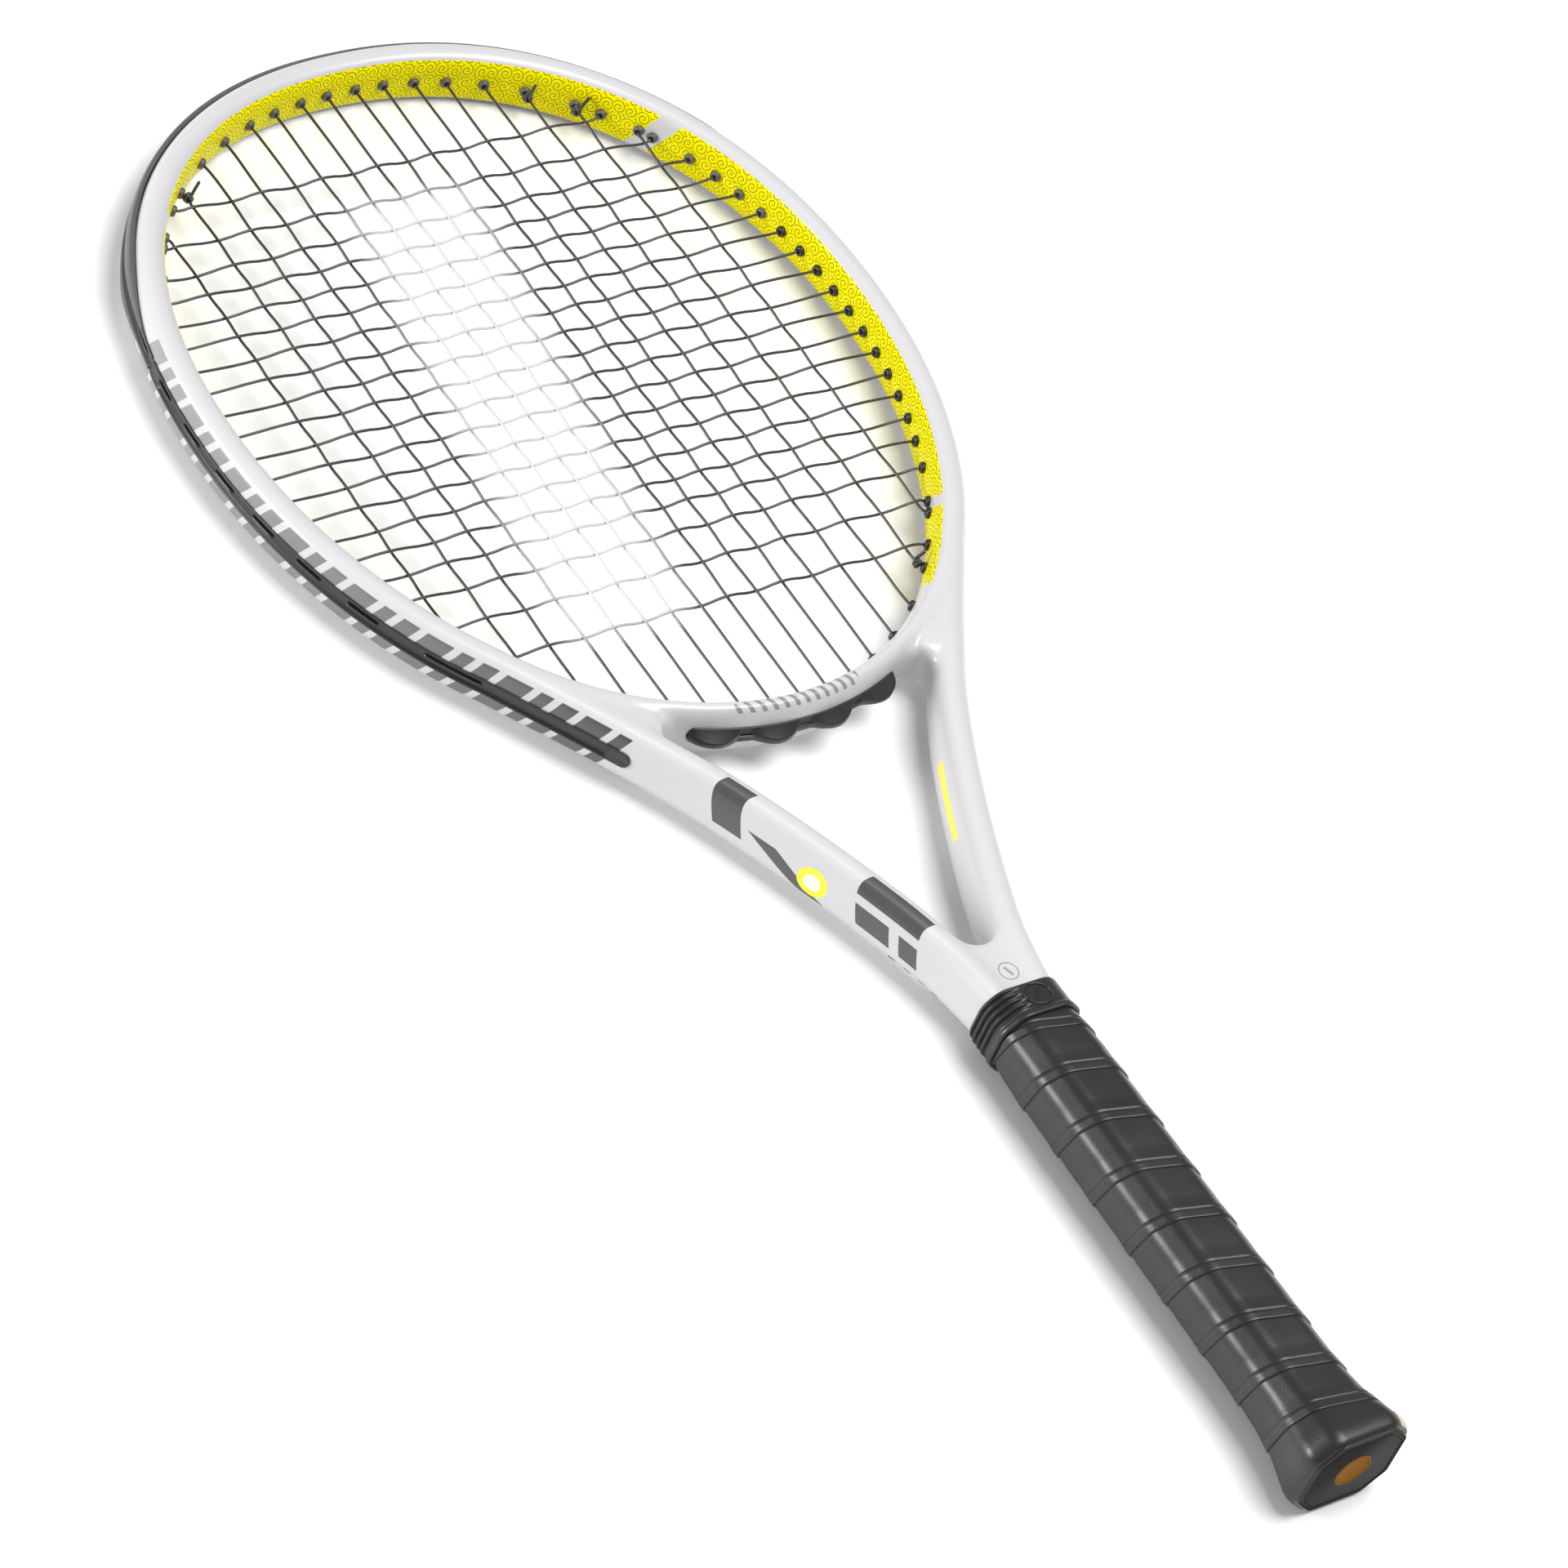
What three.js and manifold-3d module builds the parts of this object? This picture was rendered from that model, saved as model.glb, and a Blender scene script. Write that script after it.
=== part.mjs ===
// A tennis racket lying flat, in millimetres. +Y runs from the butt to the tip, +X across the head and +Z
// out of the string bed. The drawing is made with y = 0 at the butt end and z = 0 in the string plane. The last
// group moves it so that the origin is the centre of the base of its box.
import * as THREE from "three";
import { mergeVertices } from "three/addons/utils/BufferGeometryUtils.js";
import Module from "manifold-3d";

const wasm = await Module();
wasm.setup();

// ---------------------------------------------------------------- driving dimensions
const LENGTH = 686;
const TUBE = { width: 12, height: 23, wall: 1.8 }; // hoop tube: width in the string plane, height across it
const GUARD_RISE = 8.4; // tube centre to the outside of the bumper guard
const HEAD = { halfWidth: 136.2, middle: 522, bottom: 169, powerTop: 2.2, powerBottom: 2.0 }; // inner wall
HEAD.top = LENGTH - GUARD_RISE - TUBE.width / 2 - HEAD.middle;
const GROOVE = { floor: 4.2, half: 3.0, lip: 3.5 }; // string groove in the outer wall, from the tube centre
const STEP = 7.5; // degrees between two stations of the hoop
const SHOULDER = -45; // angle at which a shaft leaves the hoop
const GROOVE_LOW = 352; // y at which the string groove starts on a shaft
// Centre line and size of the right shaft: x, y, width, height.
const SHAFT = [
  [7.9, 14, 11, 19],
  [7.9, 186, 11, 19],
  [8.6, 198, 11.8, 20.6],
  [10.0, 214, 12.8, 22.6],
  [13.2, 231, 13, 23.2],
  [17.6, 246, 13, 23.6],
  [28.4, 274, 12.8, 23.6],
  [40.9, 302, 12.5, 23.6],
  [55.3, 330, 12.2, 23.4],
  [72.5, 357, 12, 23],
];
// lane: tube centre to the string where it runs along the outside.
const STRING = { radius: 0.65, weave: 1.6, lane: 6.05 };
// Half of the main strings, from the middle, and the cross strings, from the tip.
const MAIN_X = [6.3, 18.4, 31.1, 43.7, 57.7, 72.0, 87.5, 105.0];
const CROSS_Y = [632.6, 616.3, 602.5, 591.6, 580.8, 569.9, 559.1, 548.2, 537.4, 526.5];
CROSS_Y.push(515.7, 504.8, 494.0, 483.1, 472.3, 461.4, 450.6, 438.4, 423.2, 404.9);
// Grommet barrel: radii to the corners of the frame's hole, the barrel and its bore.
const BARREL = { hole: 2.5, outer: 2.0, bore: 1.35, proud: 1.3, sides: 4 };
const KINK = BARREL.proud + 0.9; // a string turns into its grommet this far inside the wall
const GUARD_END = 15; // degrees from the widest line to each end of the bumper guard
const THROAT_STRIP = 56; // half length of the throat grommet strip
// Handle: width (x), height (z) and corner cut of the octagon over the grip tape.
const GRIP = { width: 34, height: 30.6, cut: 7.5, thick: 1.5, from: 4.6, to: 194.6 };
const GAP = 0.3;

const group = new THREE.Group();

function add(name, geometry, look) {
  const mesh = new THREE.Mesh(geometry, new THREE.MeshStandardMaterial(look));
  mesh.name = name;
  group.add(mesh);
}

// ---------------------------------------------------------------- looks
const WHITE = { color: 0xe9e7e8, roughness: 0.28, metalness: 0 };
const GUARD = { color: 0x4d4a4c, roughness: 0.55, metalness: 0 };
const BLACK = { color: 0x17151a, roughness: 0.5, metalness: 0 };
const CORD = { color: 0x1c1b1d, roughness: 0.4, metalness: 0 };
const FOAM = { color: 0xb8a888, roughness: 0.9, metalness: 0 };
const LEATHER = { color: 0x3a3739, roughness: 0.42, metalness: 0 };
const RUBBER = { color: 0x262325, roughness: 0.5, metalness: 0 };
const ORANGE = { color: 0xc8801c, roughness: 0.45, metalness: 0 };
const TAN = { color: 0xd8c3a8, roughness: 0.8, metalness: 0 };
const STEEL = { color: 0xb8bcc0, roughness: 0.35, metalness: 1 };

// ---------------------------------------------------------------- solids
// An extrusion of the base outline, given as [offset, height] pairs, whose ring i and corner k are moved to
// place(i, k). Offset, the way along and height make a right-handed set, so the faces point out.
function loft(rings, base, place) {
  const shape = new THREE.Shape(base.map(([offset, height]) => new THREE.Vector2(height, offset)));
  const steps = rings - 1;
  const geometry = new THREE.ExtrudeGeometry(shape, { depth: steps, steps, bevelEnabled: false });
  geometry.deleteAttribute("normal");
  geometry.deleteAttribute("uv");
  const position = geometry.attributes.position;
  for (let n = 0; n < position.count; n++) {
    const away = ([offset, height]) => Math.hypot(position.getY(n) - offset, position.getX(n) - height);
    const corner = base.reduce((best, point, k) => (away(point) < away(base[best]) ? k : best), 0);
    const point = place(Math.round(position.getZ(n)), corner);
    position.setXYZ(n, point.x, point.y, point.z);
  }
  return mergeVertices(geometry, 1e-4);
}

function solid(geometry) {
  const bare = geometry.index ? geometry.toNonIndexed() : geometry.clone();
  bare.deleteAttribute("normal");
  bare.deleteAttribute("uv");
  const merged = mergeVertices(bare, 1e-4);
  const vertProperties = merged.attributes.position.array;
  const triVerts = new Uint32Array(merged.index.array);
  return new wasm.Manifold(new wasm.Mesh({ numProp: 3, vertProperties, triVerts }));
}

function surface(manifold) {
  const mesh = manifold.getMesh();
  const geometry = new THREE.BufferGeometry();
  geometry.setAttribute("position", new THREE.BufferAttribute(mesh.vertProperties, 3));
  geometry.setIndex(new THREE.BufferAttribute(mesh.triVerts, 1));
  geometry.computeVertexNormals();
  return geometry;
}

// A straight prism of equal sides from one point to another.
function prism(from, to, radius, sides) {
  const along = new THREE.Vector3().subVectors(to, from);
  const geometry = new THREE.CylinderGeometry(radius, radius, along.length(), sides);
  geometry.rotateY(Math.PI / sides);
  geometry.applyQuaternion(
    new THREE.Quaternion().setFromUnitVectors(new THREE.Vector3(0, 1, 0), along.clone().normalize()),
  );
  const middle = from.clone().add(to).multiplyScalar(0.5);
  return geometry.translate(middle.x, middle.y, middle.z);
}

function box(width, length, height, x, y, z) {
  return new THREE.BoxGeometry(width, length, height).translate(x, y, z);
}

// ---------------------------------------------------------------- head and rails
const flat = (x, y, z = 0) => new THREE.Vector3(x, y, z);

function headPart(y) {
  return y >= HEAD.middle ? [HEAD.top, HEAD.powerTop] : [HEAD.bottom, HEAD.powerBottom];
}

// The outward direction of the inner wall at a point of it.
function outward(point) {
  const [height, power] = headPart(point.y);
  const across = point.x / HEAD.halfWidth;
  const up = (point.y - HEAD.middle) / height;
  const slope = (v) => Math.sign(v) * Math.abs(v) ** (power - 1);
  return flat(slope(across) / HEAD.halfWidth, slope(up) / height).normalize();
}

function wallAtAngle(degrees) {
  const turn = THREE.MathUtils.degToRad(degrees);
  const [height, power] = headPart(HEAD.middle + Math.sin(turn));
  const reach = (v) => Math.sign(v) * Math.abs(v) ** (2 / power);
  return flat(HEAD.halfWidth * reach(Math.cos(turn)), HEAD.middle + height * reach(Math.sin(turn)));
}

function wallAtX(x, end) {
  const [height, power] = headPart(HEAD.middle + end);
  const rest = 1 - (Math.abs(x) / HEAD.halfWidth) ** power;
  return flat(x, HEAD.middle + end * height * rest ** (1 / power));
}

function wallAtY(y, side) {
  const [height, power] = headPart(y);
  const rest = 1 - (Math.abs(y - HEAD.middle) / height) ** power;
  return flat(side * HEAD.halfWidth * rest ** (1 / power), y);
}

// A rail is a list of stations: a point of the tube's centre line, its outward direction and its size.
function hoopStation(degrees) {
  const wall = wallAtAngle(degrees);
  const out = outward(wall);
  const at = wall.addScaledVector(out, TUBE.width / 2);
  return { at, out, width: TUBE.width, height: TUBE.height, grooved: true, degrees };
}

function shaftStations() {
  const first = hoopStation(SHOULDER).at;
  const rows = [...SHAFT, [first.x, first.y, TUBE.width, TUBE.height]];
  const curve = new THREE.CatmullRomCurve3(rows.map(([x, y]) => flat(x, y)), false, "centripetal");
  const stations = [];
  for (let n = 0; n < rows.length - 1; n++) {
    const steps = n < 2 || n === rows.length - 2 ? 1 : 2;
    for (let k = 0; k < steps; k++) {
      const share = k / steps;
      const t = (n + share) / (rows.length - 1);
      const along = curve.getTangent(t);
      const size = (column) => rows[n][column] * (1 - share) + rows[n + 1][column] * share;
      const at = curve.getPoint(t);
      const out = flat(along.y, -along.x).normalize();
      stations.push({ at, out, width: size(2), height: size(3), grooved: at.y > GROOVE_LOW });
    }
  }
  return stations;
}

function mirrored(station) {
  const at = station.at.clone().setX(-station.at.x);
  const out = station.out.clone().setX(-station.out.x);
  return { ...station, at, out };
}

function hoopRail(from, to) {
  const stations = [];
  for (let degrees = from; degrees <= to; degrees += STEP) stations.push(hoopStation(degrees));
  return stations;
}

const shaft = shaftStations();
const hairpin = [...shaft, ...hoopRail(SHOULDER, 180 - SHOULDER), ...shaft.map(mirrored).reverse()];
const bridge = hoopRail(SHOULDER - 90, SHOULDER);

// A solid with the outline's points, [offset outwards, height], carried along a rail.
function sweep(rail, outline) {
  return loft(rail.length, outline(rail[0], 0), (i, k) => {
    const [offset, height] = outline(rail[i], i)[k];
    return rail[i].at.clone().addScaledVector(rail[i].out, offset).setZ(height);
  });
}

// Tube section, counter-clockwise from the inside of the groove.
function tubeOutline({ width, height, grooved }, shrink = 1) {
  const w = (width / 2) * shrink;
  const h = (height / 2) * shrink;
  const floor = grooved ? GROOVE.floor : w;
  return [
    [floor, GROOVE.half], [w, GROOVE.lip], [0.92 * w, 0.72 * h], [0.5 * w, h],
    [-0.5 * w, h], [-w, 0.62 * h], [-w, -0.62 * h], [-0.5 * w, -h],
    [0.5 * w, -h], [0.92 * w, -0.72 * h], [w, -GROOVE.lip], [floor, -GROOVE.half],
  ];
}

function hollowOutline({ width, height, grooved }) {
  const out = (grooved ? GROOVE.floor : width / 2) - TUBE.wall;
  const inn = -width / 2 + TUBE.wall;
  const h = height / 2 - TUBE.wall;
  return [
    [out, 0.6 * h], [0, h], [inn, 0.55 * h], [inn, -0.55 * h], [0, -h], [out, -0.6 * h],
  ];
}

// ---------------------------------------------------------------- string holes
const RAILS = { hairpin, bridge };

// How far a point lies outside a rail's centre line.
function offsetFrom(rail, point) {
  let best = { distance: Infinity, offset: 0 };
  for (let i = 0; i + 1 < rail.length; i++) {
    const segment = new THREE.Line3(rail[i].at, rail[i + 1].at);
    const near = segment.closestPointToPoint(point, true, new THREE.Vector3());
    const distance = near.distanceTo(point);
    const out = rail[i].out.clone().add(rail[i + 1].out);
    const offset = Math.sign(out.dot(point.clone().sub(near))) * distance;
    if (distance < best.distance) best = { distance, offset };
  }
  return best.offset;
}

// A string hole: its axis starts at the inner wall and leaves the tube on the rail's outer side.
function stringHole(wall, axis, railName) {
  const reach = (offset) => {
    let near = 0;
    let far = 40;
    while (far - near > 0.01) {
      const middle = (near + far) / 2;
      const point = wall.clone().addScaledVector(axis, middle);
      if (offsetFrom(RAILS[railName], point) < offset) near = middle;
      else far = middle;
    }
    return near;
  };
  const at = (distance) => wall.clone().addScaledVector(axis, distance);
  return { at, reach, railName, wall };
}

const MAINS = [...MAIN_X.map((x) => -x).reverse(), ...MAIN_X];
const DOWN = flat(0, -1);

// A string turns into its grommet at a point KINK inside the wall, so its hole lies a little further round.
function mainHole(x, end) {
  const straight = wallAtX(x, end);
  if (end < 0 && Math.abs(x) < THROAT_STRIP + 3) return stringHole(straight, DOWN, "bridge");
  const wall = wallAtX(x + KINK * outward(straight).x, end);
  return stringHole(wall, outward(wall), "hairpin");
}

function crossHole(y, side) {
  const wall = wallAtY(y + KINK * outward(wallAtY(y, side)).y, side);
  return stringHole(wall, outward(wall), "hairpin");
}

const mainHoles = MAINS.map((x) => ({ top: mainHole(x, 1), bottom: mainHole(x, -1) }));
const crossHoles = CROSS_Y.map((y) => ({ left: crossHole(y, -1), right: crossHole(y, 1) }));
const allHoles = [...mainHoles, ...crossHoles].flatMap((pair) => Object.values(pair));

const GUARD_Y = wallAtAngle(GUARD_END).y;

function stripOf(hole) {
  if (hole.railName === "bridge") return "throat";
  if (hole.wall.y > GUARD_Y) return "guard";
  return hole.wall.x < 0 ? "left" : "right";
}

// The bridge's stations, cut off at a half length.
function throatRail(half) {
  const inside = bridge.filter(({ at }) => Math.abs(at.x) < half - 3);
  const first = inside[0];
  const before = bridge[bridge.indexOf(first) - 1];
  const share = (half + first.at.x) / (first.at.x - before.at.x);
  const at = first.at.clone().lerp(before.at, share);
  const out = first.out.clone().lerp(before.out, share);
  const end = { ...first, at, out };
  return [end, ...inside, mirrored(end)];
}

// ---------------------------------------------------------------- moulded frame
const WEB = { bottom: 199, halfBottom: 6, top: 240, halfTop: 13, bow: 221, height: 20.6, segments: 5 };
const CORNER_HEIGHT = 20;
const CORNER_SEGMENTS = 4;

// A flat outline given a height, half above and half below the string plane.
function slab(outline, height, curveSegments) {
  return new THREE.ExtrudeGeometry(outline, { depth: height, bevelEnabled: false, curveSegments })
    .translate(0, 0, -height / 2);
}

// The web where the two shafts meet above the handle.
function throatWeb() {
  const outline = new THREE.Shape();
  outline.moveTo(-WEB.halfBottom, WEB.bottom);
  outline.lineTo(WEB.halfBottom, WEB.bottom);
  outline.lineTo(WEB.halfTop, WEB.top);
  outline.quadraticCurveTo(0, WEB.bow, -WEB.halfTop, WEB.top);
  return slab(outline, WEB.height, WEB.segments);
}

// The rounded corner between the bridge and a shaft.
function throatCorner(side) {
  const outline = new THREE.Shape();
  outline.moveTo(40 * side, 353);
  outline.quadraticCurveTo(59 * side, 354, 50.5 * side, 333);
  outline.lineTo(58 * side, 336);
  outline.lineTo(66 * side, 360);
  outline.lineTo(48 * side, 360);
  return slab(outline, CORNER_HEIGHT, CORNER_SEGMENTS);
}

function frame() {
  const slim = (station) => tubeOutline(station, 0.985);
  let body = solid(sweep(hairpin, (station) => tubeOutline(station)));
  body = body.add(solid(sweep(bridge, slim)));
  body = body.add(solid(throatWeb()));
  for (const side of [-1, 1]) body = body.add(solid(throatCorner(side)));
  const longer = hairpin.map((station) => ({ ...station, at: station.at.clone() }));
  for (const end of [longer[0], longer.at(-1)]) end.at.y -= 1;
  let hollow = solid(sweep(longer, hollowOutline));
  hollow = hollow.add(solid(sweep(bridge, hollowOutline)));
  body = body.subtract(hollow);
  // The bridge's groove runs on into the rounded corners, where the throat strip ends.
  const beyond = TUBE.width + 2;
  const recess = [
    [beyond, 3.2], [GROOVE.floor, GROOVE.half], [GROOVE.floor, -GROOVE.half], [beyond, -3.2],
  ];
  body = body.subtract(solid(sweep(throatRail(THROAT_STRIP + 6), () => recess)));
  for (const hole of allHoles) {
    const far = hole.reach(TUBE.width / 2 + 2);
    body = body.subtract(solid(prism(hole.at(-3), hole.at(far), BARREL.hole, BARREL.sides)));
  }
  return surface(body);
}

// ---------------------------------------------------------------- grommet strips
const GUARD_OUTLINE = [
  [5.1, 2.0], [8.2, 2.2], [GUARD_RISE, 3.6], [7.6, 7.6], [6.3, 7.8], [6.5, 2.9], [4.5, 2.6],
  [4.5, -2.6], [6.5, -2.9], [6.3, -7.8], [7.6, -7.6], [GUARD_RISE, -3.6], [8.2, -2.2], [5.1, -2.0],
];
const STRIP_OUTLINE = [[5.1, 2.6], [4.5, 2.6], [4.5, -2.6], [5.1, -2.6]];

function withBarrels(base, name) {
  const holes = allHoles.filter((hole) => stripOf(hole) === name);
  let body = solid(base);
  for (const hole of holes) {
    const root = hole.reach(GROOVE.floor + 0.6);
    body = body.add(solid(prism(hole.at(-BARREL.proud), hole.at(root), BARREL.outer, BARREL.sides)));
  }
  for (const hole of holes) {
    const far = hole.reach(GUARD_RISE);
    const bore = prism(hole.at(-BARREL.proud - 1), hole.at(far), BARREL.bore, BARREL.sides);
    body = body.subtract(solid(bore));
  }
  return surface(body);
}

// The guard's side flanges narrow to a point at each end.
function bumperGuard() {
  const rail = hoopRail(GUARD_END, 180 - GUARD_END);
  const flange = GUARD_OUTLINE[5][1];
  const outline = (station, i) => {
    const fromEnd = Math.min(i, rail.length - 1 - i);
    const spread = [0.05, 0.5, 0.85][fromEnd] ?? 1;
    const narrowed = (z) => Math.sign(z) * (flange + (Math.abs(z) - flange) * spread);
    return GUARD_OUTLINE.map(([offset, z]) => [offset, Math.abs(z) > flange ? narrowed(z) : z]);
  };
  return withBarrels(sweep(rail, outline), "guard");
}

function sideStrip(side) {
  const belongs = ({ at, degrees = -90 }) => at.x > 0 && at.y > GROOVE_LOW + 4 && degrees < GUARD_END;
  let rail = hairpin.filter(belongs);
  const last = rail.at(-1).at.clone().lerp(hoopStation(GUARD_END).at, 0.9);
  rail = [...rail, { ...rail.at(-1), at: last, out: hoopStation(GUARD_END).out }];
  if (side < 0) rail = rail.map(mirrored).reverse();
  return withBarrels(sweep(rail, () => STRIP_OUTLINE), side < 0 ? "left" : "right");
}

function throatStrip() {
  const base = sweep(throatRail(THROAT_STRIP + 5), () => STRIP_OUTLINE);
  return withBarrels(base, "throat");
}

// ---------------------------------------------------------------- strings
// A string along a hand-made list of points, with a square section that turns with the route.
function stringAlong(points) {
  const side = (i) => {
    const before = points[Math.max(i - 1, 0)];
    const after = points[Math.min(i + 1, points.length - 1)];
    const here = points[i];
    const into = here.clone().sub(before).normalize();
    const away = after.clone().sub(here).normalize();
    return into.add(away).normalize();
  };
  const reach = STRING.radius * Math.SQRT1_2;
  const square = [[reach, reach], [-reach, reach], [-reach, -reach], [reach, -reach]];
  return loft(points.length, square, (i, k) => {
    const along = side(i);
    const right = along.clone().cross(flat(0, 0, 1)).normalize();
    const above = right.clone().cross(along).normalize();
    return points[i].clone().addScaledVector(right, square[k][0]).addScaledVector(above, square[k][1]);
  });
}

const STUB = GROOVE.floor + 0.2; // a string's end stays inside its grommet
const OVER = 7.5; // tube centre to a string that passes over another in the groove
const BESIDE = 1.35; // sideways shift of one string where it passes another in the groove

function throughHole(hole, outside) {
  return [hole.at(-KINK), hole.at(hole.reach(outside))];
}

// The middle of a turn outside the tube, from one hole to the next of the same string.
function turnMiddle(from, to, outside, z = 0) {
  const middle = from.at(from.reach(outside)).lerp(to.at(to.reach(outside)), 0.5);
  const out = outward(wallAtAngle(THREE.MathUtils.radToDeg(Math.atan2(middle.y - HEAD.middle, middle.x))));
  return middle.addScaledVector(out, outside - offsetFrom(RAILS[from.railName], middle)).setZ(z);
}

function mainString() {
  const points = [];
  mainHoles.forEach(({ top, bottom }, i) => {
    const upwards = i % 2 === 0;
    const isEnd = i === 0 || i === MAINS.length - 1;
    const low = throughHole(bottom, isEnd ? STUB : STRING.lane);
    const high = throughHole(top, STRING.lane);
    if (upwards) points.push(...low.reverse(), ...high);
    else points.push(...high.reverse(), ...low);
    if (isEnd && !upwards) return;
    const end = upwards ? "top" : "bottom";
    // The first turn runs beside the first cross string where both leave the tube.
    points.push(turnMiddle(mainHoles[i][end], mainHoles[i + 1][end], STRING.lane, i === 0 ? BESIDE : 0));
  });
  return stringAlong(points);
}

function crossString() {
  const points = [];
  crossHoles.forEach(({ left, right }, j) => {
    const isEnd = j === 0 || j === CROSS_Y.length - 1;
    const lift = j < 2 ? OVER : STRING.lane;
    const west = throughHole(left, lift);
    const east = throughHole(right, isEnd ? STUB : STRING.lane);
    const over = MAINS.filter((x) => Math.abs(x) < Math.abs(west[0].x) - 1.5).map((x) => {
      const i = MAINS.indexOf(x);
      return flat(x, CROSS_Y[j], (i + j) % 2 ? STRING.weave : -STRING.weave);
    });
    const westwards = j % 2 === 0;
    if (westwards) points.push(...east.reverse(), ...over.reverse(), ...west);
    else points.push(...west.reverse(), ...over, ...east);
    if (isEnd && !westwards) return;
    const side = westwards ? "left" : "right";
    points.push(turnMiddle(crossHoles[j][side], crossHoles[j + 1][side], j === 0 ? lift : STRING.lane));
  });
  return stringAlong(points);
}

const KNOT = { radius: 1.75, cord: 0.8, fromKink: 2.6, cordSides: 5, steps: 8 };

// A tie-off knot: one turn of string round a main string, beside its grommet.
function knot(x, end) {
  const wall = wallAtX(x, end);
  const y = mainHole(x, end).at(-KINK).y - end * KNOT.fromKink;
  return new THREE.TorusGeometry(KNOT.radius, KNOT.cord, KNOT.cordSides, KNOT.steps)
    .rotateX(Math.PI / 2)
    .translate(wall.x, y, 0);
}

// ---------------------------------------------------------------- handle
function octagon(width, height, cut) {
  const a = width / 2;
  const b = height / 2;
  return [
    [a, b - cut], [a - cut, b], [cut - a, b], [-a, b - cut],
    [-a, cut - b], [cut - a, -b], [a - cut, -b], [a, cut - b],
  ];
}

// An octagonal bar along Y through rows of y, width, height and corner cut.
function octagonBar(rows) {
  const [, ...size] = rows[0];
  return loft(rows.length, octagon(...size), (i, k) => {
    const [y, ...here] = rows[i];
    const [x, z] = octagon(...here)[k];
    return flat(x, y, z);
  });
}

const GRIP_ROWS = [
  [GRIP.from, 42.0, 38.4, 9.2], [8, 41.6, 38.0, 9.2], [14, 39.0, 35.4, 8.6], [21, 36.3, 32.8, 8.0],
  [30, 34.6, 31.2, 7.6], [42, GRIP.width, GRIP.height, GRIP.cut],
  [GRIP.to, GRIP.width, GRIP.height, GRIP.cut],
];
const CUT_SHARE = 2 - Math.SQRT2; // an octagon's corner cut shrinks this much for each millimetre of inset

function inset(rows, depth) {
  return rows.map(([y, w, h, cut]) => [y, w - 2 * depth, h - 2 * depth, cut - CUT_SHARE * depth]);
}

// The same rows with the first and the last moved apart.
function extended(rows, more) {
  const [[first, ...start], ...rest] = rows;
  const [last, ...end] = rest.pop();
  return [[first - more, ...start], ...rest, [last + more, ...end]];
}

function gripTape() {
  const hollow = octagonBar(extended(inset(GRIP_ROWS, GRIP.thick), 1));
  return surface(solid(octagonBar(GRIP_ROWS)).subtract(solid(hollow)));
}

// The butt cap: its sleeve ends at CAP_TOP on the pallet.
const CAP_TOP = 35;
// crown: distance of the staple's crown from the handle's axis.
const STAPLE = { y: 24, crown: 13.45, width: 9, wire: 1.0, leg: 3 };
const SOCKET = { from: 9.5, size: [29.2, 25.8, 6.2] };
const CAP_ROWS = [
  [0, 38.6, 35.0, 8.6], [1.4, 41.6, 38.0, 9.1], [GRIP.from - GAP, 42.2, 38.6, 9.2],
  [GRIP.from - GAP + 0.01, 38.4, 34.8, 8.3], [8, 38.0, 34.4, 8.3], [14, 35.4, 31.8, 7.6],
  [21, 32.7, 29.2, 6.9],
  [30, 31.0, 27.6, 6.5], [CAP_TOP, 30.4, 27.0, 6.4],
];

function stapleGeometry(side, grow) {
  const crownZ = side * STAPLE.crown;
  const wire = STAPLE.wire + 2 * grow;
  const crown = box(STAPLE.width + 2 * grow, wire, wire, 0, STAPLE.y, crownZ);
  const legZ = crownZ - (side * (STAPLE.leg - grow)) / 2;
  const leg = (x) => box(wire, wire, STAPLE.leg + grow, x, STAPLE.y, legZ);
  const reach = (STAPLE.width - STAPLE.wire) / 2;
  return solid(crown).add(solid(leg(-reach))).add(solid(leg(reach)));
}

const ROUND_SIDES = 24;

function roundPlug(radius, from, to) {
  return prism(flat(0, from), flat(0, to), radius, ROUND_SIDES);
}

const PLATE = { width: 36, height: 32.4, cut: 8, thick: 1.8, sunk: 0.2 };
const BADGE = { radius: 7.4, thick: 1.2, sunk: 0.6 };

function buttCap() {
  let body = solid(octagonBar(CAP_ROWS));
  const pocket = [PLATE.width + 2 * GAP, PLATE.height + 2 * GAP, PLATE.cut + 0.2];
  body = body.subtract(solid(octagonBar([[-1, ...pocket], [PLATE.sunk + PLATE.thick + GAP, ...pocket]])));
  body = body.subtract(solid(octagonBar([[SOCKET.from, ...SOCKET.size], [CAP_TOP + 1, ...SOCKET.size]])));
  for (const side of [-1, 1]) body = body.subtract(stapleGeometry(side, GAP));
  return surface(body);
}

function buttPlate() {
  const size = [PLATE.width, PLATE.height, PLATE.cut];
  const plate = solid(octagonBar([[PLATE.sunk, ...size], [PLATE.sunk + PLATE.thick, ...size]]));
  const through = roundPlug(BADGE.radius + GAP, PLATE.sunk - 1, PLATE.sunk + PLATE.thick + 1);
  return surface(plate.subtract(solid(through)));
}

// The foam handle: its octagon in the cap's socket and above it, and the room round each leg of the frame.
const FOAM_HANDLE = { from: 10, to: 200, low: [28.6, 25.2, 6.0], high: [30.4, 27.0, 6.4], around: 0.8 };
const PARTING = { y: 204.4, width: 13, length: 12, height: 21.6 };

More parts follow.
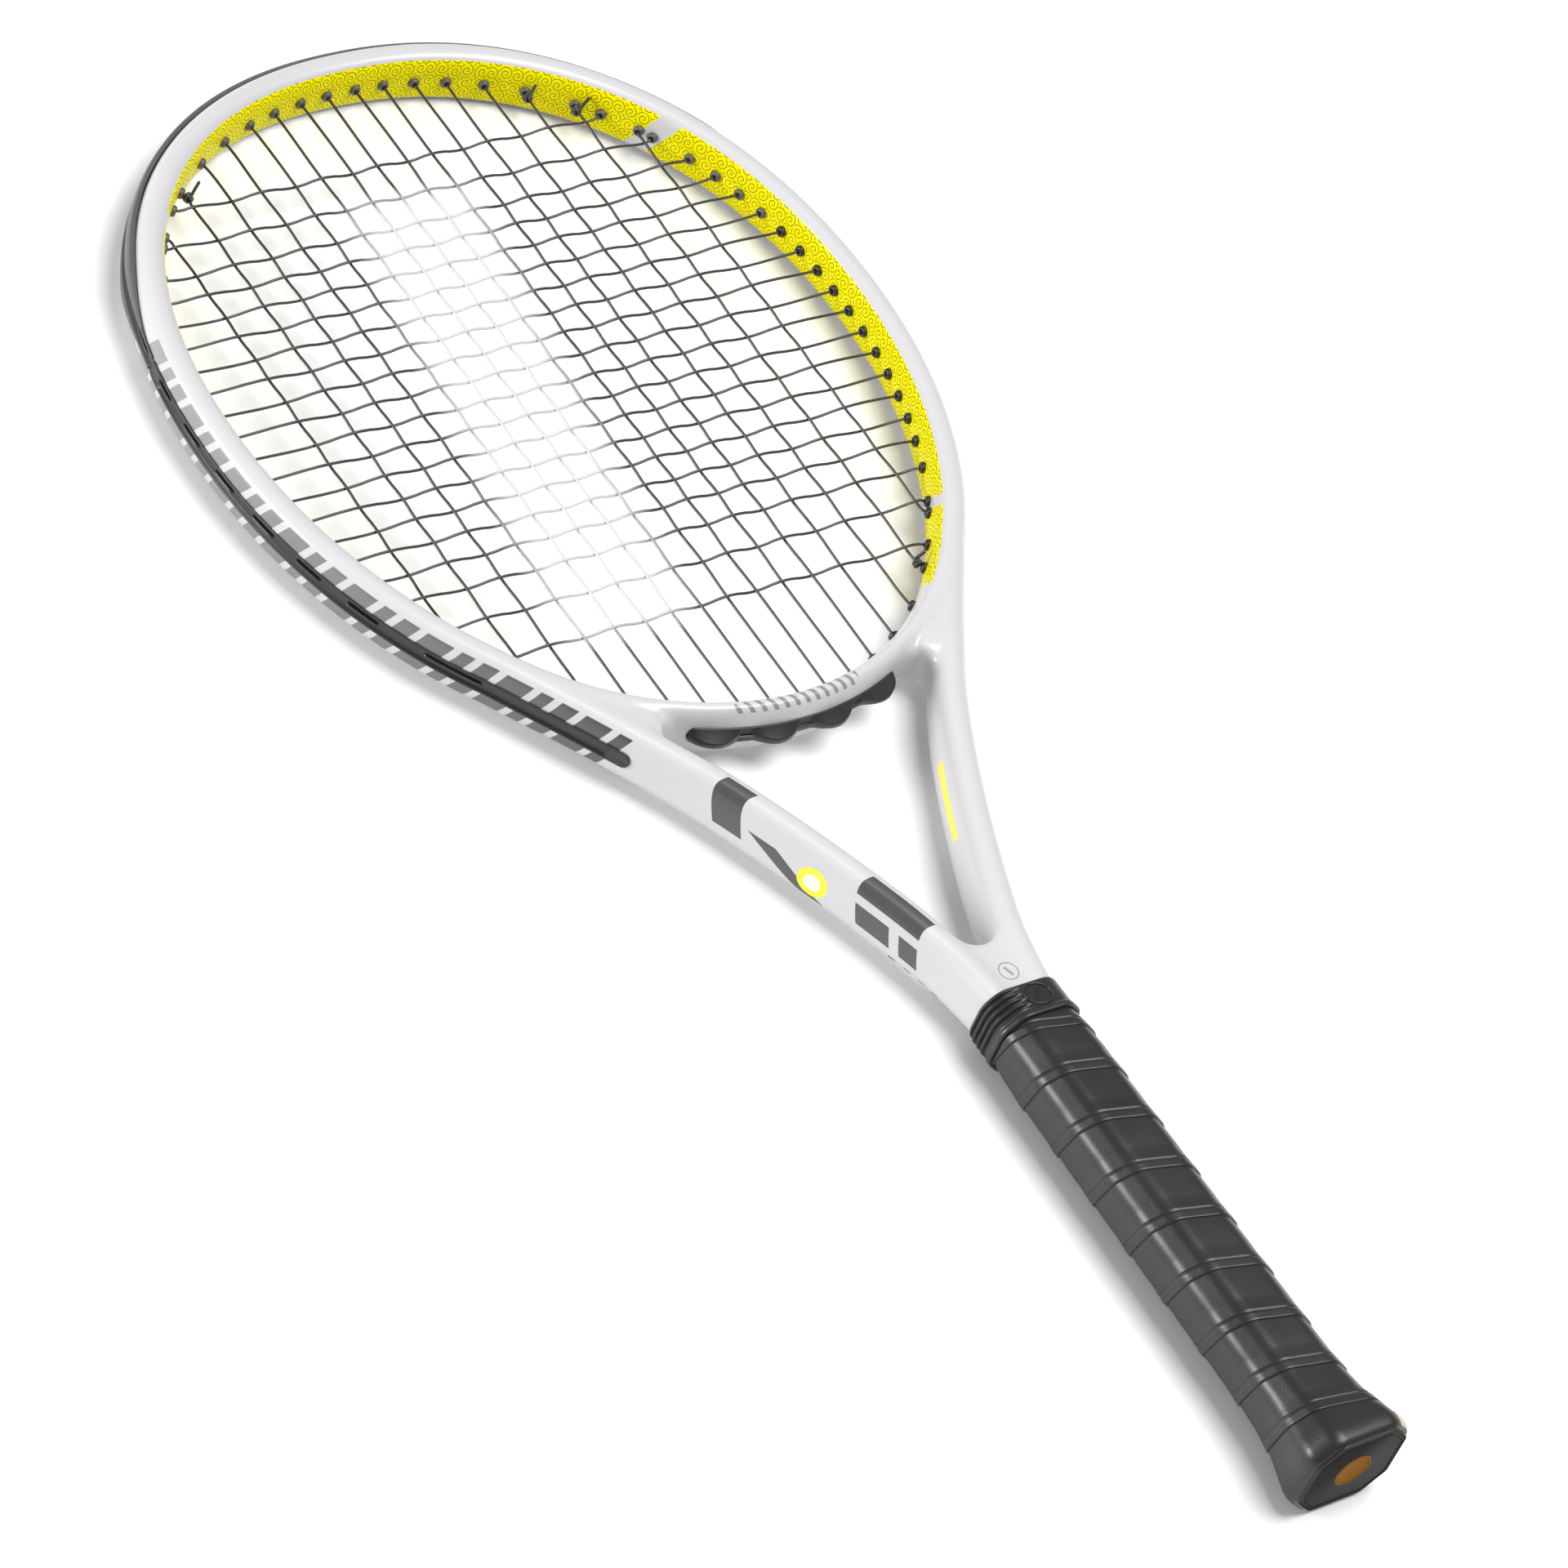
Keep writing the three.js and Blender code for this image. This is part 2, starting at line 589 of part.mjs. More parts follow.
// The foam handle moulded round the frame's two legs.
function pallet() {
  const { from, to, low, high, around } = FOAM_HANDLE;
  const step = CAP_TOP + GAP;
  let body = solid(octagonBar([[from, ...low], [step, ...low], [step + 0.01, ...high], [to, ...high]]));
  const legs = hairpin.filter(({ at }) => at.y < PARTING.y + PARTING.length);
  for (const side of [-1, 1]) {
    const rail = legs.filter(({ at }) => at.x * side > 0)
      .map((station) => ({ ...station, at: station.at.clone() }));
    const end = side > 0 ? rail[0] : rail.at(-1);
    end.at.y -= around / 2;
    const roomy = (station) => {
      const width = station.width + around;
      const height = station.height + around;
      return tubeOutline({ ...station, width, height });
    };
    body = body.subtract(solid(sweep(rail, roomy)));
    body = body.subtract(stapleGeometry(side, GAP));
  }
  // Above the legs' parting the frame is one piece, and the foam stops short of it.
  body = body.subtract(solid(box(PARTING.width, PARTING.length, PARTING.height, 0, PARTING.y, 0)));
  return surface(body);
}

// The vinyl tape wound over the grip's end: y from and to, then outer and inner octagons.
const VINYL = { from: 195, to: 199.4, outer: [32.1, 28.7, 6.9], inner: [31.0, 27.6, 6.6] };

function finishingTape() {
  const ring = solid(octagonBar([[VINYL.from, ...VINYL.outer], [VINYL.to, ...VINYL.outer]]));
  const hollow = octagonBar([[VINYL.from - 1, ...VINYL.inner], [VINYL.to + 1, ...VINYL.inner]]);
  return surface(ring.subtract(solid(hollow)));
}

const COLLAR_OUTSIDE = [
  [GRIP.to + GAP, 35.0, 31.6, 7.8], [197.4, 35.6, 32.2, 8.0],
  [198.2, 34.6, 31.0, 7.8], [208.6, 33.8, 28.4, 7.0],
];
const COLLAR_INSIDE = [
  [194, 32.7, 29.3, 7.0], [200.6, 32.7, 29.3, 7.0], [201.4, 32.5, 26.4, 5.6], [209.6, 32.6, 24.6, 3.6],
];

function collar() {
  return surface(solid(octagonBar(COLLAR_OUTSIDE)).subtract(solid(octagonBar(COLLAR_INSIDE))));
}

const TAB = { width: 5.5, length: 2.6, thick: 0.6, x: 19.0, y: 2.5, z: 15.6 };

// A short piece of the tape's backing that shows on one corner of the butt.
function startTab() {
  return box(TAB.width, TAB.length, TAB.thick, 0, 0, 0).rotateY(Math.PI / 4).translate(TAB.x, TAB.y, TAB.z);
}

// ---------------------------------------------------------------- assembly
add("frame", frame(), WHITE);
add("bumper_guard", bumperGuard(), GUARD);
add("side_grommet_strip_left", sideStrip(-1), BLACK);
add("side_grommet_strip_right", sideStrip(1), BLACK);
add("throat_grommet_strip", throatStrip(), BLACK);
add("main_string", mainString(), CORD);
add("cross_string", crossString(), CORD);
add("tie_knot_top_inner", knot(MAIN_X[5], 1), CORD);
add("tie_knot_top_outer", knot(MAIN_X[6], 1), CORD);
add("tie_knot_bottom_right", knot(MAIN_X[6], -1), CORD);
add("tie_knot_top_left", knot(-MAIN_X[6], 1), CORD);
add("handle_pallet", pallet(), FOAM);
add("butt_cap", buttCap(), RUBBER);
add("butt_plate", buttPlate(), RUBBER);
add("butt_badge", roundPlug(BADGE.radius, BADGE.sunk, BADGE.sunk + BADGE.thick), ORANGE);
add("grip_tape", gripTape(), LEATHER);
add("grip_start_tab", startTab(), TAN);
add("finishing_tape", finishingTape(), BLACK);
add("rubber_collar", collar(), RUBBER);
add("cap_staple_upper", surface(stapleGeometry(1, 0)), STEEL);
add("cap_staple_lower", surface(stapleGeometry(-1, 0)), STEEL);

group.position.set(0, -LENGTH / 2, CAP_ROWS[2][2] / 2);
const racket = new THREE.Group();
racket.add(group);
export default racket;
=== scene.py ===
import math
import bmesh
import bpy
import numpy as np
from mathutils import Matrix, Vector


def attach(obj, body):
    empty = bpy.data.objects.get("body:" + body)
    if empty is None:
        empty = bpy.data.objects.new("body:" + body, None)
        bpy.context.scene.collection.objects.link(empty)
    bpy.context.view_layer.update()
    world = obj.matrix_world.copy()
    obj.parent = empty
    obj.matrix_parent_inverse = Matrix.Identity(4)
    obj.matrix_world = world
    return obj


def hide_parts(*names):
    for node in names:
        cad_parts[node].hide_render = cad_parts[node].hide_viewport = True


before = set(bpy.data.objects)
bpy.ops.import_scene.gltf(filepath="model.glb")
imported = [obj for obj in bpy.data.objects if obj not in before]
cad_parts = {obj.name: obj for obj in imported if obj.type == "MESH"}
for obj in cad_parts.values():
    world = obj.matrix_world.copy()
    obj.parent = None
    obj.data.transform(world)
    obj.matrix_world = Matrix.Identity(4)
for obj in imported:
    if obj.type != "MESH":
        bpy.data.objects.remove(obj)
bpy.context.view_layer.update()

MM = 0.001
WELD = 2e-5
ORIGIN = np.array([0.0, -343.0, 19.3])

# ---- dimensions, mm
LENGTH = 686.0
TUBE_W, TUBE_H = 12.0, 23.0
GUARD_RISE = 8.4
HALF_WIDTH, MIDDLE, BOTTOM = 136.2, 522.0, 169.0
TOP = LENGTH - GUARD_RISE - TUBE_W / 2 - MIDDLE
POWER_TOP, POWER_BOTTOM = 2.2, 2.0
# The shaft's centre line from the handle up: x, y, and the tube's width and height there.
SHAFT = [
    (7.9, 14, 11, 19), (7.9, 186, 11, 19), (8.6, 198, 11.8, 20.6), (10.0, 214, 12.8, 22.6),
    (13.2, 231, 13, 23.2), (17.6, 246, 13, 23.6), (28.4, 274, 12.8, 23.6), (40.9, 302, 12.5, 23.6),
    (55.3, 330, 12.2, 23.4), (72.5, 357, 12, 23),
]
SHOULDER = -45.0
GROOVE_FLOOR, GROOVE_HALF, GROOVE_LOW = 4.2, 3.0, 352.0
STRING_R = 0.54
MAIN_X = [6.3, 18.4, 31.1, 43.7, 57.7, 72.0, 87.5, 105.0]
CROSS_Y = [632.6, 616.3, 602.5, 591.6, 580.8, 569.9, 559.1, 548.2, 537.4, 526.5,
           515.7, 504.8, 494.0, 483.1, 472.3, 461.4, 450.6, 438.4, 423.2, 404.9]
THROAT_STRIP = 56.0
GUARD_END = 15.0
ACROSS, UP = np.array([1.0, 0.0, 0.0]), np.array([0.0, 0.0, 1.0])
FULL_TURN = 2 * math.pi


def drawn(points):
    return (np.asarray(points, float) + ORIGIN) * MM


# ---- mesh helpers
def linked(name, data):
    """A new object in the scene's collection."""
    made = bpy.data.objects.new(name, data)
    bpy.context.collection.objects.link(made)
    return made


def mesh_object(name, points, faces, smooth=True):
    mesh = bpy.data.meshes.new(name)
    mesh.from_pydata([tuple(p) for p in drawn(points)], [], [tuple(int(i) for i in f) for f in faces])
    mesh.validate()
    if smooth:
        mesh.shade_smooth()
    return linked(name, mesh)


def outward_faces(piece, weld=0.0):
    """Turn the faces outwards, after joining points nearer than a distance in metres."""
    bm = bmesh.new()
    bm.from_mesh(piece.data)
    if weld:
        bmesh.ops.remove_doubles(bm, verts=bm.verts, dist=weld)
        bmesh.ops.dissolve_degenerate(bm, edges=bm.edges, dist=weld / 2)
    bmesh.ops.recalc_face_normals(bm, faces=bm.faces)
    bm.to_mesh(piece.data)
    bm.free()


def solid(name, points, faces, smooth=True):
    """A closed mesh with its faces turned outwards."""
    piece = mesh_object(name, points, faces, smooth)
    outward_faces(piece)
    return piece


def grid_faces(rows, columns, first=0, caps=True, closed_rows=False):
    """Faces of a tube of rows of closed rings, with flat ends unless the rows close on themselves."""
    faces = []
    for i in range(rows if closed_rows else rows - 1):
        below = first + i * columns
        above = first + ((i + 1) % rows) * columns
        for k in range(columns):
            n = (k + 1) % columns
            faces.append((below + k, below + n, above + n, above + k))
    if caps and not closed_rows:
        faces.append(tuple(first + k for k in reversed(range(columns))))
        faces.append(tuple(first + (rows - 1) * columns + k for k in range(columns)))
    return faces


def loft(name, rings, closed=False):
    """A solid through rings of equally many points, in order along it."""
    return solid(name, np.vstack(rings), grid_faces(len(rings), len(rings[0]), closed_rows=closed))


def modify(piece, kind, **settings):
    """Add a modifier and apply it."""
    modifier = piece.modifiers.new(kind, kind)
    for key, value in settings.items():
        setattr(modifier, key, value)
    evaluated = piece.evaluated_get(bpy.context.evaluated_depsgraph_get())
    mesh = bpy.data.meshes.new_from_object(evaluated)
    piece.modifiers.clear()
    old = piece.data
    piece.data = mesh
    bpy.data.meshes.remove(old)


def carve(piece, cutter):
    """Cut one mesh out of another and delete the cutter."""
    modify(piece, "BOOLEAN", operation="DIFFERENCE", object=cutter, solver="EXACT")
    bpy.data.objects.remove(cutter)


def join(name, pieces):
    bm = bmesh.new()
    for piece in pieces:
        bm.from_mesh(piece.data)
        bpy.data.objects.remove(piece)
    mesh = bpy.data.meshes.new(name)
    bm.to_mesh(mesh)
    bm.free()
    mesh.shade_smooth()
    return linked(name, mesh)


def unit_rows(rows):
    return rows / np.linalg.norm(rows, axis=1)[:, None]


def round_points(centre, radius, side, other, sides):
    """Points of a circle about a centre, in the plane of two directions."""
    turns = (FULL_TURN * k / sides for k in range(sides))
    return [centre + radius * (math.cos(turn) * side + math.sin(turn) * other) for turn in turns]


def rod(name, path, radius, sides=10, closed=False):
    """A round rod along a path, without twist."""
    path = np.asarray(path, float)
    ahead = np.roll(path, -1, 0) - path
    behind = path - np.roll(path, 1, 0)
    if not closed:
        ahead[-1] = behind[-1]
        behind[0] = ahead[0]
    along = unit_rows(unit_rows(ahead) + unit_rows(behind))
    side = np.cross(along[0], UP)
    if np.linalg.norm(side) < 0.1:
        side = np.cross(along[0], ACROSS)
    rings = []
    for centre, way in zip(path, along):
        side = side - way * side.dot(way)
        side /= np.linalg.norm(side)
        rings.append(round_points(centre, radius, side, np.cross(way, side), sides))
    return loft(name, rings, closed)


def chaikin(path, times):
    """Rounds a path's corners by cutting each of them off."""
    path = np.asarray(path, float)
    for _ in range(times):
        cut = np.empty((2 * len(path) - 2, 3))
        cut[0::2] = 0.75 * path[:-1] + 0.25 * path[1:]
        cut[1::2] = 0.25 * path[:-1] + 0.75 * path[1:]
        path = np.vstack([path[:1], cut, path[-1:]])
    return path


# ---- the racket's centre lines
def head_part(y):
    """The half height and the power of the superellipse that is the inner wall there."""
    return (TOP, POWER_TOP) if y >= MIDDLE else (BOTTOM, POWER_BOTTOM)


def outward(point):
    """The inner wall's outward direction at a point on it."""
    x, y = point[:2]
    height, power = head_part(y)
    across, up = x / HALF_WIDTH, (y - MIDDLE) / height
    direction = np.array([
        math.copysign(abs(across) ** (power - 1), across) / HALF_WIDTH,
        math.copysign(abs(up) ** (power - 1), up) / height, 0.0])
    return direction / np.linalg.norm(direction)


def tube_centre(wall):
    """The middle of the hoop's tube outside a point of the inner wall."""
    return wall + outward(wall) * TUBE_W / 2


def wall_at_angle(degrees):
    """The inner wall at a parameter angle: 0 at +X, 90 at the tip."""
    turn = math.radians(degrees)
    height, power = head_part(MIDDLE + math.sin(turn))
    reach = [math.copysign(abs(v) ** (2 / power), v) for v in (math.cos(turn), math.sin(turn))]
    return np.array([HALF_WIDTH * reach[0], MIDDLE + height * reach[1], 0.0])


def wall_at_polar(degrees):
    """The inner wall on a ray from the head's middle."""
    turn = math.radians(degrees)
    height, power = head_part(MIDDLE + math.sin(turn))
    across, up = abs(math.cos(turn)) / HALF_WIDTH, abs(math.sin(turn)) / height
    reach = (across ** power + up ** power) ** (-1 / power)
    return np.array([reach * math.cos(turn), MIDDLE + reach * math.sin(turn), 0.0])


def polar(point):
    return math.degrees(math.atan2(point[1] - MIDDLE, point[0]))


def wall_at_x(x, end):
    """The inner wall above an x, at the tip (1) or the throat (-1)."""
    height, power = head_part(MIDDLE + end)
    rest = 1 - (abs(x) / HALF_WIDTH) ** power
    return np.array([x, MIDDLE + end * height * rest ** (1 / power), 0.0])


def wall_at_y(y, side):
    """The inner wall beside a y, on the right (1) or the left (-1)."""
    height, power = head_part(y)
    rest = 1 - (abs(y - MIDDLE) / height) ** power
    return np.array([side * HALF_WIDTH * rest ** (1 / power), y, 0.0])


def centripetal(rows, steps):
    """A centripetal Catmull-Rom curve through rows, with some steps in each span."""
    rows = np.asarray(rows, float)
    padded = np.vstack([2 * rows[0] - rows[1], rows, 2 * rows[-1] - rows[-2]])
    result = []
    for n in range(len(rows) - 1):
        p = padded[n:n + 4]
        gaps = [max(np.linalg.norm(p[i + 1][:2] - p[i][:2]) ** 0.5, 1e-6) for i in range(3)]
        knots = np.concatenate([[0.0], np.cumsum(gaps)])
        for t in np.linspace(knots[1], knots[2], steps, endpoint=False):
            layer = [(p[i] * (knots[i + 1] - t) + p[i + 1] * (t - knots[i])) / gaps[i] for i in range(3)]
            layer = [
                (layer[i] * (knots[i + 2] - t) + layer[i + 1] * (t - knots[i])) / (knots[i + 2] - knots[i])
                for i in range(2)]
            result.append((layer[0] * (knots[2] - t) + layer[1] * (t - knots[1])) / gaps[1])
    result.append(rows[-1])
    return np.array(result)


class Rail:
    """A centre line in the string plane, with outward directions and the tube's width and height."""

    def __init__(self, *columns):
        self.rows = np.column_stack(columns)
        self.at, self.out = self.rows[:, :3], self.rows[:, 3:6]
        self.width, self.height = self.rows[:, 6], self.rows[:, 7]
        steps = np.linalg.norm(np.diff(self.at, axis=0), axis=1)
        self.along = np.concatenate([[0.0], np.cumsum(steps)])

    def part(self, keep):
        return Rail(self.rows[keep])

    def mirrored(self):
        return Rail((self.rows * (-1, 1, 1, -1, 1, 1, 1, 1))[::-1])

    def to_end(self):
        """Distance from each station to the nearer end."""
        return np.minimum(self.along, self.along[-1] - self.along)

    def nearest(self, points):
        """Signed distance outside the line and length along it, for rows of points."""
        points = np.asarray(points, float)
        best = np.full(len(points), np.inf)
        offset, along = np.zeros(len(points)), np.zeros(len(points))
        flat = points[:, :2]
        for i in range(len(self.at) - 1):
            a, b = self.at[i, :2], self.at[i + 1, :2]
            span = b - a
            share = np.clip(((flat - a) @ span) / span.dot(span), 0, 1)
            gap = flat - (a + share[:, None] * span)
            distance = np.linalg.norm(gap, axis=1)
            closer = distance < best
            side = np.sign(gap @ (self.out[i] + self.out[i + 1])[:2])
            best = np.where(closer, distance, best)
            offset = np.where(closer, side * distance, offset)
            along = np.where(closer, self.along[i] + share * math.sqrt(span.dot(span)), along)
        return offset, along


def hoop_rail(start, end, step=1.0):
    angles = np.linspace(start, end, int(round((end - start) / step)) + 1)
    walls = [wall_at_polar(a) for a in angles]
    out = np.array([outward(w) for w in walls])
    at = np.array(walls) + out * TUBE_W / 2
    return Rail(at, out, np.full(len(at), TUBE_W), np.full(len(at), TUBE_H))


def shaft_rail():
    end = tube_centre(wall_at_angle(SHOULDER))
    rows = centripetal([*SHAFT, (end[0], end[1], TUBE_W, TUBE_H)], 6)
    ahead = unit_rows(np.gradient(rows[:, :2], axis=0))
    zero = np.zeros(len(rows))
    at = np.column_stack([rows[:, 0], rows[:, 1], zero])
    out = np.column_stack([ahead[:, 1], -ahead[:, 0], zero])
    return Rail(at[:-1], out[:-1], rows[:-1, 2], rows[:-1, 3])


def chain(*rails):
    """Rails end to end."""
    return Rail(np.vstack([rail.rows for rail in rails]))


def refined(rail, step=0.8):
    """The same rail with stations closer together."""
    fine = np.linspace(0, rail.along[-1], int(rail.along[-1] / step) + 1)
    rows = np.column_stack([np.interp(fine, rail.along, column) for column in rail.rows.T])
    return Rail(rows[:, :3], unit_rows(rows[:, 3:6]), rows[:, 6:])


SHAFT_RAIL = shaft_rail()
SHOULDER_POLAR = polar(wall_at_angle(SHOULDER))
# The hairpin is the tube from the right leg round the tip to the left leg; the bridge closes the head.
HAIRPIN = chain(SHAFT_RAIL, hoop_rail(SHOULDER_POLAR, 180 - SHOULDER_POLAR), SHAFT_RAIL.mirrored())
BRIDGE = hoop_rail(-180 - SHOULDER_POLAR, SHOULDER_POLAR)


def rounded(power, sides=44):
    """A rounded section with half size 1 each way."""
    turns = np.linspace(0, FULL_TURN, sides, endpoint=False)
    c, s = np.cos(turns), np.sin(turns)
    return np.column_stack([np.sign(c) * abs(c) ** (2 / power), np.sign(s) * abs(s) ** (2 / power)])


def sweep(name, rail, section):
    """A solid whose section, rows of offset and height for a station, is carried along a rail."""
    rings = []
    for i in range(len(rail.at)):
        outline = section(i)
        ring = rail.at[i] + outline[:, :1] * rail.out[i]
        ring[:, 2] = outline[:, 1]
        rings.append(ring)
    return loft(name, rings)


# ---- string holes
class Hole:
    """A string hole from the inner wall outwards along an axis, through the hoop or the bridge."""

    def __init__(self, wall, axis, bridge=False):
        self.wall, self.axis, self.bridge = wall, axis, bridge

    def at(self, distance):
        return self.wall + self.axis * distance


# A string bends where it meets its grommet, this far inside the wall.
KINK = 2.2
MAINS = [-x for x in reversed(MAIN_X)] + MAIN_X


def main_hole(x, end):
    straight = wall_at_x(x, end)
    if end < 0 and abs(x) < THROAT_STRIP + 3:
        return Hole(straight, np.array([0.0, -1.0, 0.0]), True)
    wall = wall_at_x(x + KINK * outward(straight)[0], end)
    return Hole(wall, outward(wall))


def cross_hole(y, side):
    straight = wall_at_y(y, side)
    wall = wall_at_y(y + KINK * outward(straight)[1], side)
    return Hole(wall, outward(wall))


MAIN_HOLES = [(main_hole(x, 1), main_hole(x, -1)) for x in MAINS]
CROSS_HOLES = [(cross_hole(y, -1), cross_hole(y, 1)) for y in CROSS_Y]
GUARD_Y = wall_at_angle(GUARD_END)[1]


def strip_of(hole):
    """The name of the strip whose sleeve lines a hole."""
    if hole.bridge:
        return "throat"
    if hole.wall[1] > GUARD_Y:
        return "guard"
    return "left" if hole.wall[0] < 0 else "right"


def holes_of(name):
    return [hole for pair in MAIN_HOLES + CROSS_HOLES for hole in pair if strip_of(hole) == name]


# ---- frame
BRIDGE_W, BRIDGE_END_W = 8.6, 10.4


def smoothstep(share):
    share = np.clip(share, 0, 1)
    return share * share * (3 - 2 * share)


def bridge_rail():
    """The bridge's line: narrower than the hoop, nearer the inner wall, and wider over its last 16 mm."""
    width = BRIDGE_W + (BRIDGE_END_W - BRIDGE_W) * smoothstep((np.abs(BRIDGE.at[:, 0]) - 50) / 16)
    shift = (TUBE_W - width) / 2
    return Rail(BRIDGE.at - BRIDGE.out * shift[:, None], BRIDGE.out, width, BRIDGE.height)


THIN_BRIDGE = bridge_rail()


def fill(name, side, outline, height):
    """A slab between z = -height/2 and height/2 over an outline, mirrored for the left side."""
    outline = np.asarray(outline, float) * (side, 1)
    if side < 0:
        outline = outline[::-1]
    rings = [np.column_stack([outline, np.full(len(outline), z)]) for z in (-height / 2, height / 2)]
    return loft(name, rings)


def quadratic(a, b, c, steps=10):
    t = np.linspace(0, 1, steps)[:, None]
    a, b, c = (np.array(point, float) for point in (a, b, c))
    return (1 - t) ** 2 * a + 2 * t * (1 - t) * b + t ** 2 * c


def throat_web():
    """Fills the fork where the two shafts meet."""
    arc = quadratic((14, 243), (0, 219), (-14, 243))
    return fill("web", 1, np.vstack([[(-6, 199), (6, 199)], arc]), height=20.0)


def throat_corner(side):
    """Rounds the corner between a shaft and the bridge."""
    arc = quadratic((53, 355.5), (61, 357), (59.5, 345.5), steps=8)
    return fill("corner", side, np.vstack([arc, [(63, 347), (67, 354), (66, 362), (56, 359)]]), height=15.0)


def crease_fill(side):
    """Fills the crease where a shaft runs up beside the hoop."""
    outline = [(60, 352), (69, 356), (84, 373), (97, 391), (91, 389), (77, 374.5), (65, 362), (57, 357)]
    return fill("crease", side, outline, height=21.0)


def vertices(piece):
    points = np.empty(len(piece.data.vertices) * 3)
    piece.data.vertices.foreach_get("co", points)
    return points.reshape(-1, 3)


def relax(piece, times, weight=None):
    """Smooth the mesh, more where the weight of a point is nearer one."""
    mesh = piece.data
    points = vertices(piece)
    count = len(points)
    edges = np.empty(len(mesh.edges) * 2, int)
    mesh.edges.foreach_get("vertices", edges)
    a, b = edges.reshape(-1, 2).T
    degree = np.bincount(a, minlength=count) + np.bincount(b, minlength=count)
    share = 0.5 if weight is None else 0.5 * weight(points)[:, None]
    for _ in range(times):
        total = np.column_stack([
            np.bincount(a, points[b, i], count) + np.bincount(b, points[a, i], count) for i in range(3)])
        points = points + share * (total / degree[:, None] - points)
    mesh.vertices.foreach_set("co", points.ravel())
    mesh.update()


def near_joints(points):
    """One at the throat's corners and along its creases, falling to nothing 30 mm away."""
    corners = drawn([(60, 352, 0), (-60, 352, 0), (77, 371, 0), (-77, 371, 0), (0, 232, 0)])
    near = np.full(len(points), np.inf)
    for corner in corners:
        near = np.minimum(near, np.linalg.norm(points[:, :2] - corner[:2], axis=1))
    return np.clip((0.03 - near) / 0.02, 0, 1)


def add_values(piece, name, values):
    attribute = piece.data.attributes.new(name, "FLOAT", "POINT")
    attribute.data.foreach_set("value", np.asarray(values, np.float32))


def tube_along(name, rail, power):
    section = rounded(power)
    return sweep(name, rail, lambda i: section * (rail.width[i] / 2, rail.height[i] / 2))


def cut_groove(body, rail, floor, half):
    """Cut a groove with slightly open walls into the outside of a tube, from beyond its skin to a floor."""
    top = 9.0
    outline = np.array([(top, half + 0.25), (floor, half), (floor, -half), (top, -half - 0.25)])
    carve(body, sweep("groove", rail, lambda i: outline))


VOXEL = 0.95
BRIDGE_GROOVE, BRIDGE_FLOOR = 43.0, BRIDGE_W / 2 - 1.4


def build_frame():
    """The tubes and fillets joined into one moulding, smoothed, and then grooved for the strips."""
    body = join("racket_frame", [
        tube_along("hairpin", HAIRPIN, power=2.9), tube_along("bridge", THIN_BRIDGE, power=2.3),
        throat_web(), throat_corner(1), throat_corner(-1), crease_fill(1), crease_fill(-1)])
    modify(body, "REMESH", mode="VOXEL", voxel_size=VOXEL * MM, use_smooth_shade=True)
    relax(body, times=4)
    relax(body, times=26, weight=near_joints)
    cut_groove(body, HAIRPIN.part(HAIRPIN.at[:, 1] > GROOVE_LOW + 2), GROOVE_FLOOR, GROOVE_HALF)
    cut_groove(body, THIN_BRIDGE.part(np.abs(THIN_BRIDGE.at[:, 0]) < BRIDGE_GROOVE), BRIDGE_FLOOR, half=2.9)
    offset, along = HAIRPIN.nearest(vertices(body) / MM - ORIGIN)
    add_values(body, "offset", offset)
    add_values(body, "along", along)
    body.data.set_sharp_from_angle(angle=math.radians(42))
    return body


# ---- grommet strips
BARREL_R, BARREL_RIM, BARREL_PROUD, BORE_R = 1.75, 2.2, 1.5, 0.95


def barrels(holes, root):
    """Open round sleeves with a rounded rim, one for each hole, from the strip's base to inside the hoop."""
    tip = -BARREL_PROUD
    profile = [
        (tip, BORE_R), (tip - 0.25, 1.2), (tip - 0.15, 1.6), (tip + 0.2, BARREL_RIM - 0.15),
        (tip + 0.7, BARREL_RIM), (0.5, BARREL_RIM), (1.0, BARREL_R), (root, BARREL_R), (root, BORE_R)]
    pieces = []
    for hole in holes:
        side = np.cross(hole.axis, UP)
        rings = [round_points(hole.at(distance), radius, side, UP, sides=16) for distance, radius in profile]
        pieces.append(loft("barrel", rings, closed=True))
    return pieces


def closed_outline(half):
    """A section from one half of it, rows of offset and height, and the mirror image of that half."""
    return np.vstack([half, np.array(half[::-1]) * (1, -1)])


def taper_ends(rail, length):
    """One along the middle of a rail, falling to nothing at its two ends as a rounded tip does."""
    return np.sqrt(np.clip(1 - (1 - np.clip(rail.to_end() / length, 0, 1)) ** 2, 0, 1))


def build_side_strip(side):
    """A strip in the side groove; the channel along it for the string turns closes before its ends."""
    top = tube_centre(wall_at_angle(GUARD_END))[1]
    fine = refined(HAIRPIN)
    rail = fine.part((fine.at[:, 0] * side > 0) & (fine.at[:, 1] > GROOVE_LOW - 1.0) & (fine.at[:, 1] < top))
    spread = np.maximum(taper_ends(rail, 3.2), 0.1)
    channel = np.clip((rail.to_end() - 8.0) / 1.5, 0, 1)
    name = "left" if side < 0 else "right"
    outline = closed_outline([
        (GROOVE_FLOOR + 0.1, 2.7), (5.95, 2.75), (6.0, 3.3), (6.3, 3.4), (6.55, 3.15), (6.6, 2.7), (6.4, 2.3),
        (5.6, 2.0), (5.45, 1.6)])

    def section(i):
        closed = outline.copy()
        closed[abs(outline[:, 1]) < 2.1, 0] += 0.95 * (1 - channel[i])
        return closed * (1, spread[i])

    base = sweep("base", rail, section)
    return join(f"grommet_strip_{name}", [base, *barrels(holes_of(name), TUBE_W / 2 + GROOVE_FLOOR + 0.6)])


LOBES = [-35.4, -12.0, 12.0, 35.4]
LOBE_REACH, LOBE_HALF = 4.9, 9.8
STRIP_END = 44.6


